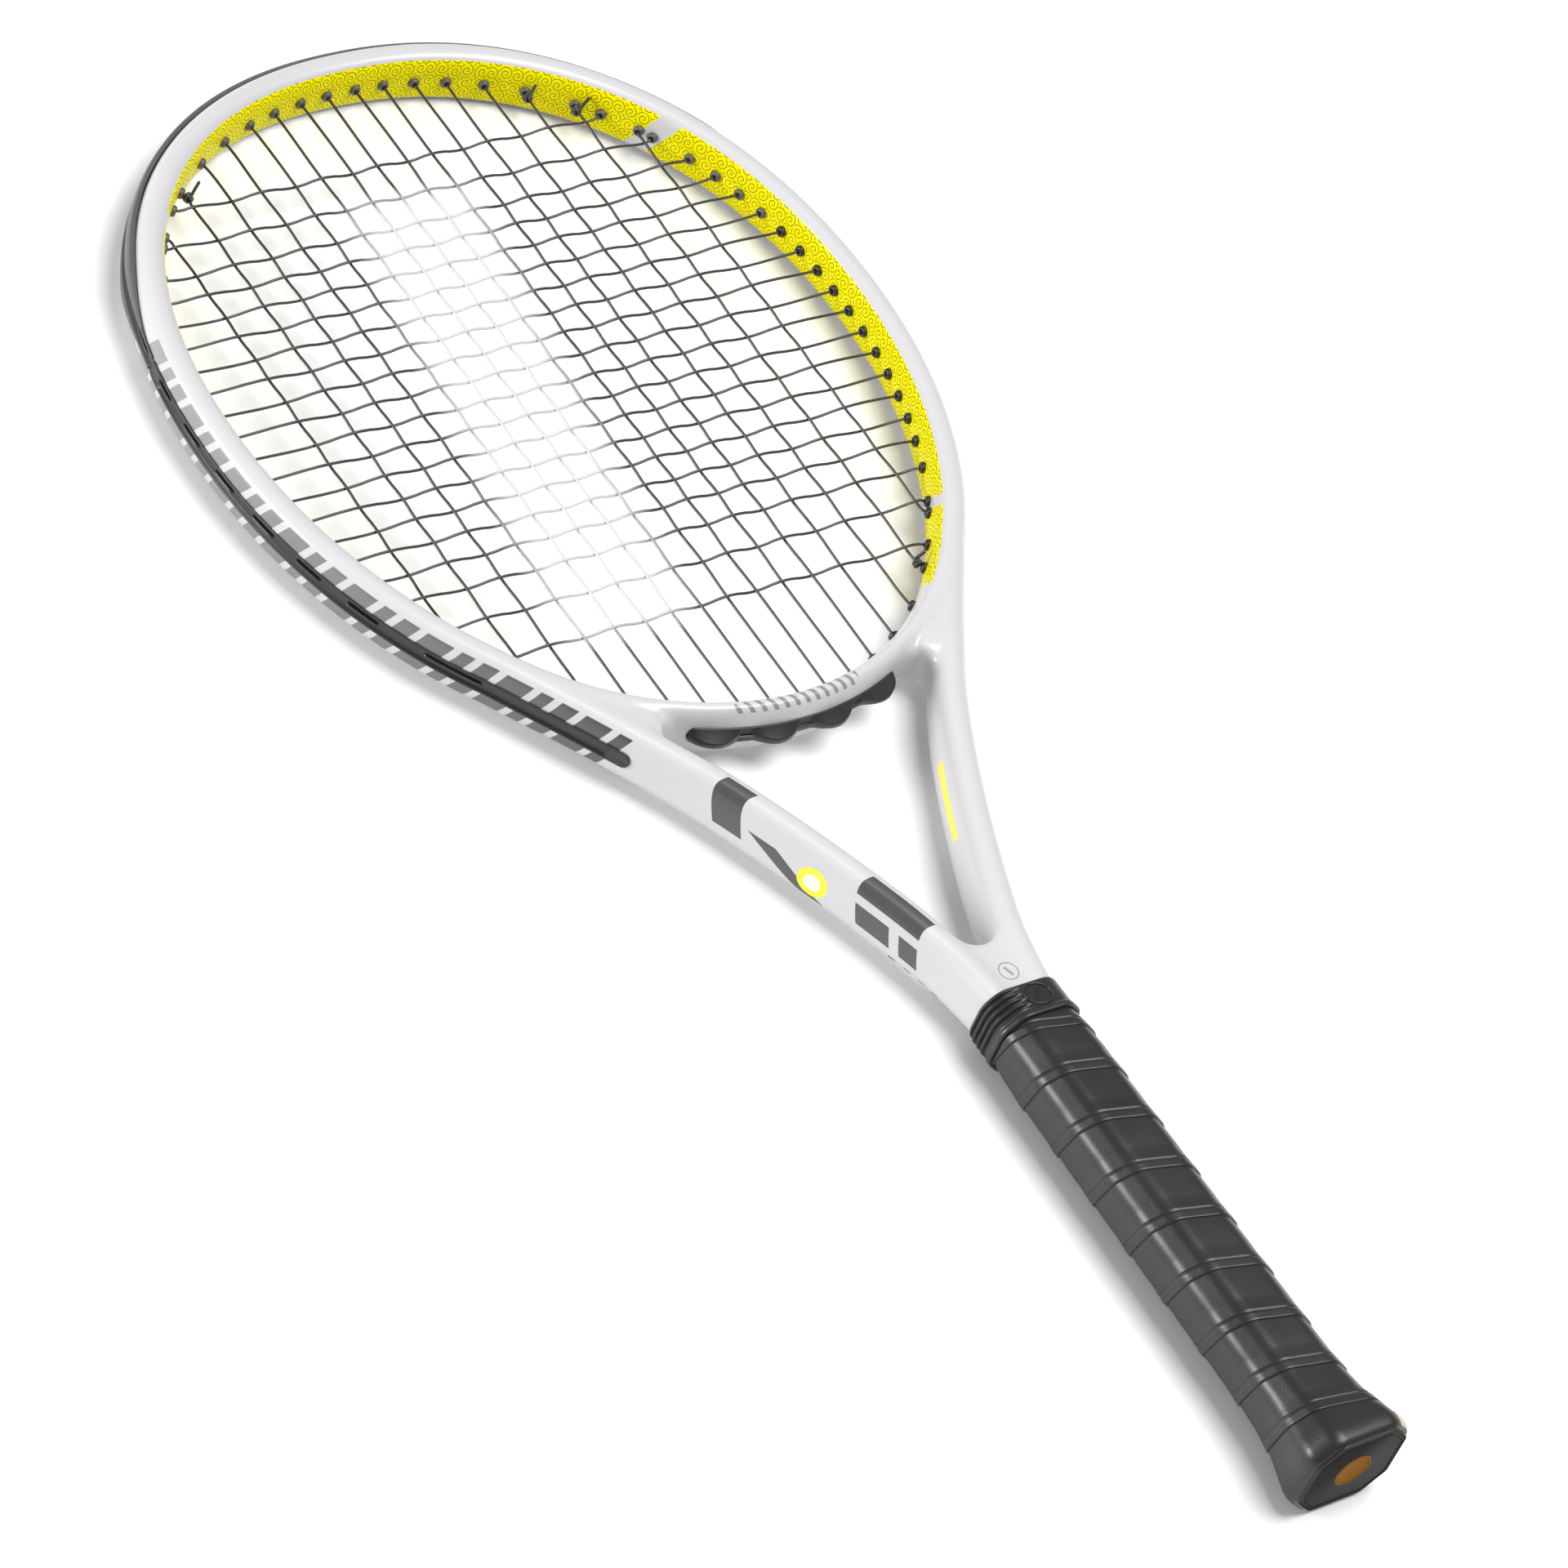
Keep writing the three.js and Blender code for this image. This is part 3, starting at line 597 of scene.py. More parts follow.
def build_throat_strip():
    """A strip under the bridge with a lobe over each pair of string holes."""
    fine = refined(THIN_BRIDGE, 0.6)
    rail = fine.part(np.abs(fine.at[:, 0]) < STRIP_END)
    spread = np.maximum(taper_ends(rail, 2.6), 0.12)
    fall = taper_ends(rail, 4.5)

    def section(i):
        gap = min(abs(rail.at[i][0] - lobe) for lobe in LOBES)
        rise = LOBE_REACH * fall[i] * max(0.0, math.cos(min(gap / LOBE_HALF, 1) * math.pi / 2)) ** 0.9
        h = 3.6 * spread[i]
        base = BRIDGE_W / 2 + 0.3
        top = base + 0.35 + rise
        crest = h * (0.62 - 0.24 * rise / LOBE_REACH)
        return closed_outline([
            (BRIDGE_FLOOR, -0.8 * h), (base - 0.2, -h), (base + 0.15, -h + 0.1), (base + 0.3, -0.9 * h),
            (top - 0.3, -crest), (top, -crest + 0.35)])

    base = sweep("base", rail, section)
    return join("grommet_strip_throat", [base, *barrels(holes_of("throat"), BRIDGE_W - 1.0)])


def build_guard():
    """The bumper round the tip, which grows from the side strips' size to its full one over 46 mm."""
    start = polar(wall_at_angle(GUARD_END))
    rail = hoop_rail(start, 180 - start, 0.5)
    spread = smoothstep(rail.to_end() / 46.0)
    skin = TUBE_W / 2 + 0.25

    def section(i):
        s = spread[i]
        flange = 3.1 + 4.7 * s
        rise = 6.6 + 1.8 * s
        return closed_outline([
            (5.0, 1.9), (rise - 0.35, 2.0), (rise, 2.5), (rise, 3.0 + 0.8 * s), (rise - 0.2, 3.3 + 1.6 * s),
            (skin + 1.1 * s + 0.3, flange - 0.5), (skin + 0.35 * s + 0.15, flange),
            (skin - 0.2, flange - 0.1), (skin + 0.02, 2.9), (GROOVE_FLOOR + 0.1, 2.7)])

    base = sweep("base", rail, section)
    return join("guard_strip", [base, *barrels(holes_of("guard"), TUBE_W / 2 + 5.0)])


# ---- strings
# How far outside the inner wall a string's turns run, and how far its weave rises at a crossing.
LANE = 6.0 + TUBE_W / 2
BRIDGE_LANE = BRIDGE_W + 1.6
BRIDGE_BURIED = BRIDGE_W - 2.4
MAIN_WAVE, CROSS_WAVE = 0.6, 1.6


def turn_over(first, second, lane):
    """Points along the outside of the tube between two holes of one string."""
    a, b = first.at(lane), second.at(lane)
    if first.bridge != second.bridge:
        return [a, b]
    bulge = 0.035 * np.linalg.norm(b - a)
    points = [(1 - share) * a + share * b for share in np.linspace(0, 1, 6)]
    return [p + outward(p) * share * (1 - share) * bulge for p, share in zip(points, np.linspace(0, 1, 6))]


def lane_of(hole, following):
    """How deep a turn between two holes runs; the outermost turn of the bridge is buried in its corner."""
    if not following.bridge:
        return LANE
    buried = max(abs(hole.wall[0]), abs(following.wall[0])) > THROAT_STRIP
    return BRIDGE_BURIED if buried else BRIDGE_LANE


def string_path(runs):
    """One string through all its runs, each from a first hole over its crossings to a last hole."""
    path = [runs[0][0].at(LANE - 3)]
    for n, (first, last, crossings) in enumerate(runs):
        if n:
            before = runs[n - 1][1]
            path += turn_over(before, first, lane_of(before, first))
        path += [first.at(3.0), first.at(-KINK)] + crossings + [last.at(-KINK), last.at(3.0)]
    return path + [runs[-1][1].at(LANE - 3)]


def one_run(number, first, last, crossings):
    """A run between two holes over its crossings; every other run goes back from the last to the first."""
    return (first, last, crossings) if number % 2 else (last, first, crossings[::-1])


def main_runs():
    runs = []
    for i, (top, bottom) in enumerate(MAIN_HOLES):
        crossings = [
            np.array([MAINS[i], y, -MAIN_WAVE if (i + j) % 2 else MAIN_WAVE])
            for j, y in enumerate(CROSS_Y) if abs(wall_at_y(y, 1)[0]) > abs(MAINS[i]) + 2]
        runs.append(one_run(i, top, bottom, crossings))
    return runs


def cross_runs():
    runs = []
    for j, (left, right) in enumerate(CROSS_HOLES):
        crossings = [
            np.array([x, CROSS_Y[j], CROSS_WAVE if (i + j) % 2 else -CROSS_WAVE])
            for i, x in enumerate(MAINS) if abs(left.at(-KINK)[0]) > abs(x) + 1.5]
        runs.append(one_run(j, left, right, crossings))
    return runs


def build_string(name, runs):
    return rod(name, chaikin(string_path(runs), times=2), STRING_R, sides=8)


KNOT_TURNS, KNOT_SPREAD, KNOT_R = 2.3, 0.52, 0.66


def build_knot(name, x, end, tail):
    """Two turns round the main string against its grommet, and the cut end standing off."""
    start = main_hole(x, end).at(-BARREL_PROUD - 0.9)
    down = np.array([0.0, -end, 0.0])
    path = []
    for turn in np.linspace(0, KNOT_TURNS * FULL_TURN, 46):
        reach = 1.32 + 0.12 * math.sin(1.7 * turn)
        ahead = down * (0.4 + KNOT_SPREAD * turn / math.pi)
        path.append(start + ahead + reach * (math.cos(turn) * ACROSS + math.sin(turn) * UP))
    last = path[-1]
    tail = np.array(tail, float)
    path += [last + tail * 0.15 + down * 0.1, last + tail * 0.45, last + tail * 0.75, last + tail]
    return rod(name, chaikin(path, times=1), KNOT_R)


# ---- handle
def octagon_ring(width, height, cut, corner, per_corner=5, per_side=6):
    """Points round an octagon with rounded corners, and their outward normals."""
    a, b = width / 2, height / 2
    tips = np.array([
        (a, cut - b), (a, b - cut), (a - cut, b), (cut - a, b), (-a, b - cut), (-a, cut - b), (cut - a, -b),
        (a - cut, -b)])
    edges = np.roll(tips, -1, 0) - tips
    lengths = np.linalg.norm(edges, axis=1)
    ways = edges / lengths[:, None]
    normals = np.column_stack([ways[:, 1], -ways[:, 0]])
    halves = [math.acos(np.clip(normals[k - 1].dot(normals[k]), -1, 1)) / 2 for k in range(len(tips))]
    points, directions = [], []
    for k, tip in enumerate(tips):
        before, after = normals[k - 1], normals[k]
        centre = tip - (before + after) / np.linalg.norm(before + after) * corner / math.cos(halves[k])
        for share in np.linspace(0, 1, per_corner):
            normal = (1 - share) * before + share * after
            directions.append(normal / np.linalg.norm(normal))
            points.append(centre + directions[-1] * corner)
        start = corner * math.tan(halves[k])
        stop = lengths[k] - corner * math.tan(halves[(k + 1) % len(tips)])
        for share in np.linspace(0, 1, per_side + 2)[1:-1]:
            points.append(tip + ways[k] * (start + share * (stop - start)))
            directions.append(after)
    return np.array(points), np.array(directions)


# The grip's outside: y, width, height and the cut across its corners.
GRIP_ROWS = np.array([
    (-4, 39.6, 36.0, 8.2), (0.0, 40.2, 36.6, 8.3), (0.5, 41.6, 38.0, 8.5), (1.3, 42.6, 39.0, 8.7),
    (2.5, 43.3, 39.7, 8.9), (4.4, 43.6, 40.0, 9.0), (6.4, 43.4, 39.8, 9.0), (9, 42.4, 38.8, 8.9),
    (14, 39.6, 36.0, 8.6), (21, 36.6, 33.1, 8.1), (30, 34.8, 31.4, 7.6), (42, 34, 30.6, 7.5),
    (178, 34, 30.6, 7.5), (187, 33.7, 30.1, 7.5), (194, 32.8, 28.9, 7.3), (210, 32.0, 28.0, 7.2)])
GRIP_FROM, GRIP_TO = 0.0, 194.0
# Where each wrap's free edge crosses the middle of the upper face, from above the collar to beyond the butt.
WRAP_EDGES = [208.0, 186.3, 166.4, 144.2, 121.5, 99.2, 76.9, 54.3, 33.1, 14.6, -6.0, -28.0, -50.0]
PITCH, BAND = 20.6, 4.0
GRIP_SIZE = (34.0, 30.6, 7.5)
GRIP_CORNER = 8.0
SIZE_AT = np.arange(-3.0, 212.0, 0.1)


def grip_ring(width, height, cut, corner=GRIP_CORNER):
    return octagon_ring(width, height, cut, corner, per_corner=9, per_side=4)


def smooth_sizes():
    """The octagon's width, height and cut along the handle, smoothed over the rows."""
    sizes = []
    for y in SIZE_AT:
        reach = min(max(y * 0.35, 0.4), 5.0)
        window = np.linspace(-reach, reach, 9)
        weights = np.cos(window / (1.12 * reach) * math.pi / 2) ** 2
        sizes.append([weights @ np.interp(y + window, GRIP_ROWS[:, 0], GRIP_ROWS[:, c]) / weights.sum()
                      for c in (1, 2, 3)])
    return np.array(sizes)


HANDLE_SIZES = smooth_sizes()


def handle_sizes(y):
    return [np.interp(y, SIZE_AT, HANDLE_SIZES[:, c]) for c in range(3)]


def wrap_rise(p):
    """The tape's height at a distance above a wrap's free edge: overlap band, seam, fall and cushion."""
    band = 0.6 * np.clip(p / 0.45, 0, 1) ** 0.5
    seam = 0.36 * np.exp(-((p - BAND) / 0.34) ** 2)
    fall = 0.6 * np.clip((p - BAND) / 5.0, 0, 1) ** 0.7
    cushion = 0.2 * np.sin(np.clip((p - BAND) / (PITCH - BAND), 0, 1) * math.pi)
    return band - seam - fall + cushion


def wrapped_surface(base, normals):
    """Rows of points that follow the tape's helix, from beyond the butt to above the collar."""
    # Distances above a wrap's free edge, closest where the surface steps and creases.
    detail = np.concatenate([
        [0, 0.12, 0.3, 0.5, 1, 1.6, 2.2, 2.8, 3.2, 3.6, 3.8, 4, 4.2, 4.4, 4.9, 5.5, 6.2], np.arange(7, 19),
        [18.8, 19.6, 20.2, 20.5]])
    # How the ring changes for one more millimetre of width, height or cut.
    slopes = [grip_ring(*(np.array(GRIP_SIZE) + more))[0] - base for more in np.eye(3)]
    turns = np.unwrap(np.arctan2(base[:, 1], base[:, 0]))
    lean = turns / FULL_TURN - 0.25
    index = np.arange(len(WRAP_EDGES))
    near_end = 5.0
    rows = []
    for wrap in range(len(WRAP_EDGES) - 1, 0, -1):
        edge = np.interp(wrap - lean, index, WRAP_EDGES)
        following = np.interp(wrap - 1 - lean, index, WRAP_EDGES)
        stretch = (following - edge - near_end) / (PITCH - near_end)
        for p in detail:
            y = edge + (p if p <= near_end else near_end + (p - near_end) * stretch)
            y = np.clip(y, GRIP_FROM, GRIP_TO)
            flat = base
            for size, typical, slope in zip(handle_sizes(y), GRIP_SIZE, slopes):
                flat = flat + (size - typical)[:, None] * slope
            flat = flat + (wrap_rise(p) * np.clip((y - 8) / 8, 0, 1) - 0.35)[:, None] * normals
            rows.append(np.column_stack([flat[:, 0], y, flat[:, 1]]))
    return np.array(rows), len(detail)


def standing(ring, y):
    """A ring of x and z placed across the handle at y."""
    return np.column_stack([ring[:, 0], np.full(len(ring), y), ring[:, 1]])


def build_grip():
    """The tape as one closed skin; a wrap's last column of points joins the next wrap's first."""
    ring, normals = grip_ring(*GRIP_SIZE)
    columns = len(ring)
    outer, per_wrap = wrapped_surface(ring, normals)
    count = len(outer)
    faces = []
    for i in range(count - 1):
        row, above = i * columns, (i + 1) * columns
        faces += [(row + k, row + k + 1, above + k + 1, above + k) for k in range(columns - 1)]
        here, next_up = (min(j + per_wrap, count - 1) * columns for j in (i, i + 1))
        if here != next_up:
            faces.append((row + columns - 1, here, next_up, above + columns - 1))
    inner = []
    for y in (GRIP_TO, 60.0, 42.0, 30.0, 21.0, 14.0, 8.0, 4.0, 2.0, GRIP_FROM):
        width, height, cut = handle_sizes(y)
        thick = min(3.4, 1.2 + 1.1 * (y - GRIP_FROM))
        ring = grip_ring(width - thick, height - thick, cut - 0.3 * thick, GRIP_CORNER - 0.3 * thick)[0]
        inner.append(standing(ring, y))
    first = count * columns
    last_outer, last_inner = first - columns, first + (len(inner) - 1) * columns
    faces += grid_faces(len(inner), columns, first, caps=False)
    for k in range(columns):
        n = (k + 1) % columns
        faces.append((last_outer + k, last_outer + n, first + n, first + k))
        faces.append((last_inner + k, last_inner + n, n, k))
    piece = mesh_object("grip_wrap", np.vstack([outer.reshape(-1, 3), *inner]), faces)
    outward_faces(piece, WELD)
    piece.data.shade_smooth()
    piece.data.set_sharp_from_angle(angle=math.radians(60))
    return piece


def octagon_loft(name, rows, corner, closed=False, shape=None):
    """A rounded octagonal solid through rows of y, width, height and cut; shape may push a row outwards."""
    rings = []
    for i, (y, width, height, cut) in enumerate(rows):
        ring, normals = octagon_ring(width, height, cut, corner)
        if shape is not None:
            ring = ring + normals * shape(i, y, ring)[:, None]
        rings.append(standing(ring, y))
    piece = loft(name, rings, closed)
    outward_faces(piece, WELD)
    return piece


RIB_PITCH, RIB_FROM, RIB_TO = 2.65, 197.1, 207.7
RIB_RISE, RIB_DEPTH = 0.55, 1.5


def collar_rib(y, ring):
    """Ribs across the -X half; the rest is a smooth panel."""
    across = np.clip((-ring[:, 0] - 5.0) / 1.2, 0, 1)
    inside = np.clip((y - RIB_FROM) / 0.6, 0, 1) * np.clip((RIB_TO - y) / 0.6, 0, 1)
    wave = 0.5 - 0.5 * math.cos(FULL_TURN * (y - RIB_FROM) / RIB_PITCH)
    return (RIB_RISE - RIB_DEPTH * wave ** 1.3) * across * inside


def build_collar():
    """A rubber sleeve over the grip's end, open along the handle."""
    outline = np.array([(193.7, 34.6, 30.6, 7.8), (194.2, 35.6, 31.5, 8.0), (195.6, 35.6, 31.3, 8.0),
                        (196.4, 34.6, 30.0, 7.7), (207.6, 33.8, 26.8, 6.0), (208.4, 32.9, 25.9, 5.7)])
    ys = np.concatenate([np.linspace(193.7, 196.4, 8), np.linspace(196.6, 208.4, 60)])
    rows = [[y, *(np.interp(y, outline[:, 0], outline[:, c]) for c in (1, 2, 3))] for y in ys]
    outer = len(ys)
    rows += [
        (208.3, 31.5, 23.8, 4.6), (201.0, 31.0, 25.2, 5.2), (200.4, 31.2, 27.5, 6.7),
        (194.0, 31.6, 27.8, 6.8)]

    def shape(i, y, ring):
        return collar_rib(y, ring) if i < outer else np.zeros(len(ring))

    return octagon_loft("collar_sleeve", rows, corner=7.6, closed=True, shape=shape)


def build_vinyl():
    """The tape wound over the end of the grip, hidden under the collar."""
    outside, inside = (31.0, 27.4, 6.6), (30.5, 27.1, 6.5)
    rows = [(195.0, *outside), (199.4, *outside), (199.4, *inside), (195.0, *inside)]
    return octagon_loft("finishing_band", rows, corner=2.4, closed=True)


def build_collar_badge():
    """A plain raised ring with a short bar across it, on the collar's upper face."""
    middle_x, middle_y = 1.1, 202.2

    def on_face(across, along):
        y = middle_y + along
        return (middle_x + across, y, np.interp(y, (196.4, 207.6), (30.0, 26.8)) / 2 + 0.12)

    turns = np.linspace(0, FULL_TURN, 64, endpoint=False)
    ring = [on_face(5.3 * math.cos(t), 4.9 * math.sin(t)) for t in turns]
    bar = [on_face(d * 0.8, d) for d in np.linspace(-2.6, 2.6, 9)]
    return join("collar_ring", [
        rod("ring", ring, radius=0.45, sides=8, closed=True), rod("bar", bar, radius=0.4, sides=8)])


def build_cap():
    """The butt cap: a thin rim round the plate, a flared body under the tape and a sleeve on the pallet."""
    rows = [
        (9.5, 29.2, 25.8, 6.2), (35, 29.2, 25.8, 6.2), (35, 30.4, 27.0, 6.4), (30, 31.0, 27.6, 6.5),
        (21, 32.4, 28.9, 6.9), (14, 35.0, 31.4, 7.6), (8, 38.0, 34.4, 8.2), (3, 39.2, 35.6, 8.3),
        (2.0, 39.2, 35.6, 8.3), (-0.6, 39.2, 35.6, 8.3), (-0.8, 39.05, 35.45, 8.25),
        (-0.8, 38.8, 35.2, 8.2), (-0.6, 38.7, 35.1, 8.2), (2.1, 38.7, 35.1, 8.2)]
    cap = octagon_loft("butt_cap_moulding", rows, corner=3.0)
    # A slot through the sleeve for each staple.
    for side in (-1, 1):
        corners = [(x, y, side * z) for x in (-5.0, 5.0) for y in (23.0, 25.0) for z in (9.5, 16.0)]
        faces = [(0, 1, 3, 2), (4, 6, 7, 5), (0, 4, 5, 1), (2, 3, 7, 6), (0, 2, 6, 4), (1, 5, 7, 3)]
        carve(cap, solid("slot", corners, faces, smooth=False))
    return cap


def build_plate():
    """The end plate, with a shallow groove just inside its edge."""
    rows = [
        (1.9, 38.5, 34.9, 8.1), (-0.3, 38.5, 34.9, 8.1), (-0.55, 38.1, 34.5, 8.0), (-0.65, 37.5, 33.9, 7.8),
        (-0.65, 36.1, 32.5, 7.4), (-0.3, 35.8, 32.2, 7.3), (-0.3, 35.3, 31.7, 7.2), (-0.65, 35.0, 31.4, 7.1)]
    return octagon_loft("butt_end_plate", rows, corner=2.6)


def build_disc():
    """A disc with a raised edge, turned about the handle's axis from rows of y and radius."""
    profile = [(0.75, 7.4), (-0.75, 7.4), (-0.87, 7.25), (-0.87, 6.4), (-0.71, 6.2), (-0.71, 0.01)]
    return loft("butt_disc", [round_points((0, y, 0), radius, ACROSS, UP, sides=64) for y, radius in profile])


def build_tab():
    """The tape's square-cut start, folded over a corner of the butt."""
    rows = []
    for y in np.linspace(0.7, 6.2, 14):
        ring, normals = grip_ring(*handle_sizes(y))
        angles = np.degrees(np.arctan2(ring[:, 1], ring[:, 0]))
        rows.append(standing((ring - 0.25 * normals)[(angles > 18) & (angles < 50)], y))
    count = min(len(row) for row in rows)
    faces = [(i * count + k, i * count + k + 1, (i + 1) * count + k + 1, (i + 1) * count + k)
             for i in range(len(rows) - 1) for k in range(count - 1)]
    piece = mesh_object("tape_start", np.vstack([row[:count] for row in rows]), faces)
    modify(piece, "SOLIDIFY", thickness=0.5 * MM, offset=0)
    outward_faces(piece)
    return piece


# ---- materials
class Value:
    """A node's output. Arithmetic and comparisons on it make math nodes; & and | combine masks."""

    def __init__(self, tree, socket):
        self.tree, self.socket = tree, socket

    def math(self, operation, other=0.0, clamp=False, swapped=False):
        made = self.tree.nodes.new("ShaderNodeMath")
        made.operation, made.use_clamp = operation, clamp
        feed(made.inputs[int(swapped)], self)
        feed(made.inputs[int(not swapped)], other)
        return Value(self.tree, made.outputs[0])

    def __rsub__(self, other):
        return self.math("SUBTRACT", other, swapped=True)

    def between(self, low, high, soft=0.12):
        """One between two values, with soft edges."""
        rise = (self - low).math("DIVIDE", soft, clamp=True)
        fall = (high - self).math("DIVIDE", soft, clamp=True)
        return rise & fall


OPERATORS = {
    "add": "ADD", "sub": "SUBTRACT", "mul": "MULTIPLY", "truediv": "DIVIDE", "pow": "POWER",
    "lt": "LESS_THAN", "gt": "GREATER_THAN", "and": "MULTIPLY", "or": "MAXIMUM"}
for word, node_operation in OPERATORS.items():
    setattr(Value, f"__{word}__", lambda self, other, kind=node_operation: self.math(kind, other))


def feed(socket, value):
    """Link a value to a socket, or set the socket to a number, a colour or a choice."""
    if isinstance(value, Value):
        value.tree.links.new(value.socket, socket)
    else:
        socket.default_value = (*value, 1.0) if socket.type == "RGBA" else value


def far_from(across, up):
    """Distance from a centre, given the two distances along the axes."""
    return (across ** 2.0 + up ** 2.0).math("SQRT")


class Paint:
    """A node material with short names for the nodes used here."""

    def __init__(self, name, **principled):
        self.material = bpy.data.materials.new(name)
        self.material.use_nodes = True
        self.tree = self.material.node_tree
        for key, value in principled.items():
            self.set(key.replace("_", " "), value)

    def set(self, key, value):
        feed(self.tree.nodes["Principled BSDF"].inputs[key], value)

    def node(self, kind, output=0, **inputs):
        made = self.tree.nodes.new(kind)
        for key, value in inputs.items():
            if key in made.inputs:
                feed(made.inputs[key], value)
            else:
                setattr(made, key, value)
        return Value(self.tree, made.outputs[output])

    def attribute(self, name):
        return self.node("ShaderNodeAttribute", 2, attribute_name=name)

    def where(self):
        return self.node("ShaderNodeTexCoord", 3)

    def split(self, vector):
        node = self.node("ShaderNodeSeparateXYZ", Vector=vector).socket.node
        return [Value(self.tree, output) for output in node.outputs]

    def place(self):
        """Drawing coordinates x, y and z in mm."""
        return [axis / MM - float(start) for axis, start in zip(self.split(self.where()), ORIGIN)]

    def over(self, base, colour, mask):
        """A base colour with another over it where the mask is one."""
        mix = self.tree.nodes.new("ShaderNodeMix")
        mix.data_type = "RGBA"
        for socket, value in ((mix.inputs[0], mask), (mix.inputs[6], base), (mix.inputs[7], colour)):
            feed(socket, value)
        return Value(self.tree, mix.outputs[2])

    def noise(self, scale, detail=3.0, roughness=0.5):
        return self.node(
            "ShaderNodeTexNoise", Vector=self.where(), Scale=scale, Detail=detail, Roughness=roughness)

    def ramp(self, value, low, high):
        return self.node("ShaderNodeMapRange", Value=value, **{"To Min": low, "To Max": high})

    def bump(self, height, strength, distance):
        self.set("Normal", self.node("ShaderNodeBump", Height=height, Strength=strength, Distance=distance))

    def give(self, *pieces):
        for piece in pieces:
            piece.data.materials.clear()
            piece.data.materials.append(self.material)
            for polygon in piece.data.polygons:
                polygon.material_index = 0


def along_at(point):
    """Length along the hairpin rail, from its right end, nearest to a drawn point."""
    return float(HAIRPIN.nearest([point])[1][0])


def along_at_polar(degrees):
    return along_at(tube_centre(wall_at_polar(degrees)))


WHITE = (0.58, 0.57, 0.585)
GREY = (0.064, 0.060, 0.063)
YELLOW = (0.86, 0.775, 0.0005)
SPIRAL_INK = (0.24, 0.20, 0.003)
FADED_GREY = (0.31, 0.295, 0.31)
THIN_GREY = (0.30, 0.29, 0.30)
TICK_GREY = (0.25, 0.24, 0.25)
PALE_TICKS = (0.55, 0.54, 0.55)
RING_MIDDLE = (0.74, 0.75, 0.70)

# The decal's stretches on the right half, as angles about the head's middle; the left half mirrors them.
DECAL_ANGLES = (-58.7, -44.0, -42.0, 39.5, 43.0)
DECAL_HALF, DECAL_LOW = 9.6, 365.0
SPIRAL_PITCH, SPIRAL_TURNS = 5.2, 3.4
BAR_PITCH = 31.0
BARS = ((0.03, 0.37), (0.46, 0.63), (0.72, 0.94))
BAR_ENDS, BAR_STOP = ((-72.0, 352.0, 0), (-135.0, 575.0, 0)), 3.0
TICK_ANGLES, TICK_HALF = (8.0, 104.0, 196.0), 14.0
RING_Y, RING_Z, RING_OUTER, RING_INNER = 281.0, -1.5, 6.4, 3.6
BADGE_Y = 216.6


def any_of(masks):
    masks = list(masks)
    whole = masks[0]
    for mask in masks[1:]:
        whole = whole | mask
    return whole


def decal_masks(p, along, offset, y, z):
    """The yellow decal on the inner wall, in slanted lengths, and its pattern of dark spirals."""
    inner = (offset < -3.2) & (z.math("ABSOLUTE") < DECAL_HALF) & (y > DECAL_LOW)
    slanted = along + z * 0.55
    total = float(HAIRPIN.along[-1])
    ends = [along_at_polar(angle) for angle in DECAL_ANGLES]
    ends += [total - end for end in reversed(ends)]
    decal = any_of(slanted.between(low, high) for low, high in zip(ends[::2], ends[1::2])) & inner
    surface = p.node("ShaderNodeCombineXYZ", X=along / SPIRAL_PITCH, Y=z / SPIRAL_PITCH)
    centre = p.node(
        "ShaderNodeTexVoronoi", 2, Vector=surface, Scale=1.0, Randomness=0.30, voronoi_dimensions="2D")
    gap = p.node("ShaderNodeVectorMath", operation="SUBTRACT")
    feed(gap.socket.node.inputs[0], surface)
    feed(gap.socket.node.inputs[1], centre)
    across, up, _ = p.split(gap)
    turn = up.math("ARCTAN2", across) / FULL_TURN
    arm = (far_from(across, up) * SPIRAL_TURNS + (turn + 0.5)).math("FRACT")
    return decal, arm.between(0.34, 0.66, soft=0.08)


def bar_masks(along, offset, x, z):
    """Slanted bars on the left outer wall, above and below the strip, and how far up they are (0 to 1)."""
    outer = (offset > 1.5) & (x < 0.0) & z.math("ABSOLUTE").between(2.6, 9.2)
    throat, side = (along_at(point) for point in BAR_ENDS)
    low, high = min(throat, side), max(throat, side)
    lean = along - z * 0.5
    fraction = ((lean - low) / BAR_PITCH).math("FRACT")
    bars = any_of(fraction.between(start, stop, soft=0.006) for start, stop in BARS)
    share = (along - low).math("DIVIDE", high - low, clamp=True)
    rise = share if throat < side else 1.0 - share
    return bars & lean.between(low, high - BAR_STOP) & outer, rise


def shaft_masks(offset, x, y, z):
    """Plain blocks, a stroke and dashes on the left shaft, then the two rounds of its ring."""
    shaft = (x < -10.0) & (y < 345.0) & (offset > -1.0)
    lean = y - z * 0.35
    stroke = (y - z * 1.9).between(292.5, 303.5) & z.between(-9.5, 2.0)
    blocks = any_of(lean.between(y0, y1) & z.between(z0, z1) for y0, y1, z0, z1 in (
        (309.0, 320.0, -4.0, 12.5), (238.0, 264.0, 7.0, 12.5), (250.0, 264.0, -5.0, 3.6),
        (238.0, 246.0, -5.0, 3.6)))
    gaps = (lean / 6.5).math("FRACT").between(0.2, 0.7, soft=0.03)
    dashes = y.between(222.0, 250.0) & z.between(-10.2, -8.4) & gaps
    reach = far_from((y - RING_Y) * 1.12, z - RING_Z)
    return ((stroke | blocks | dashes) & shaft,
            reach.between(-1.0, RING_OUTER) & shaft, reach.between(-1.0, RING_INNER) & shaft)


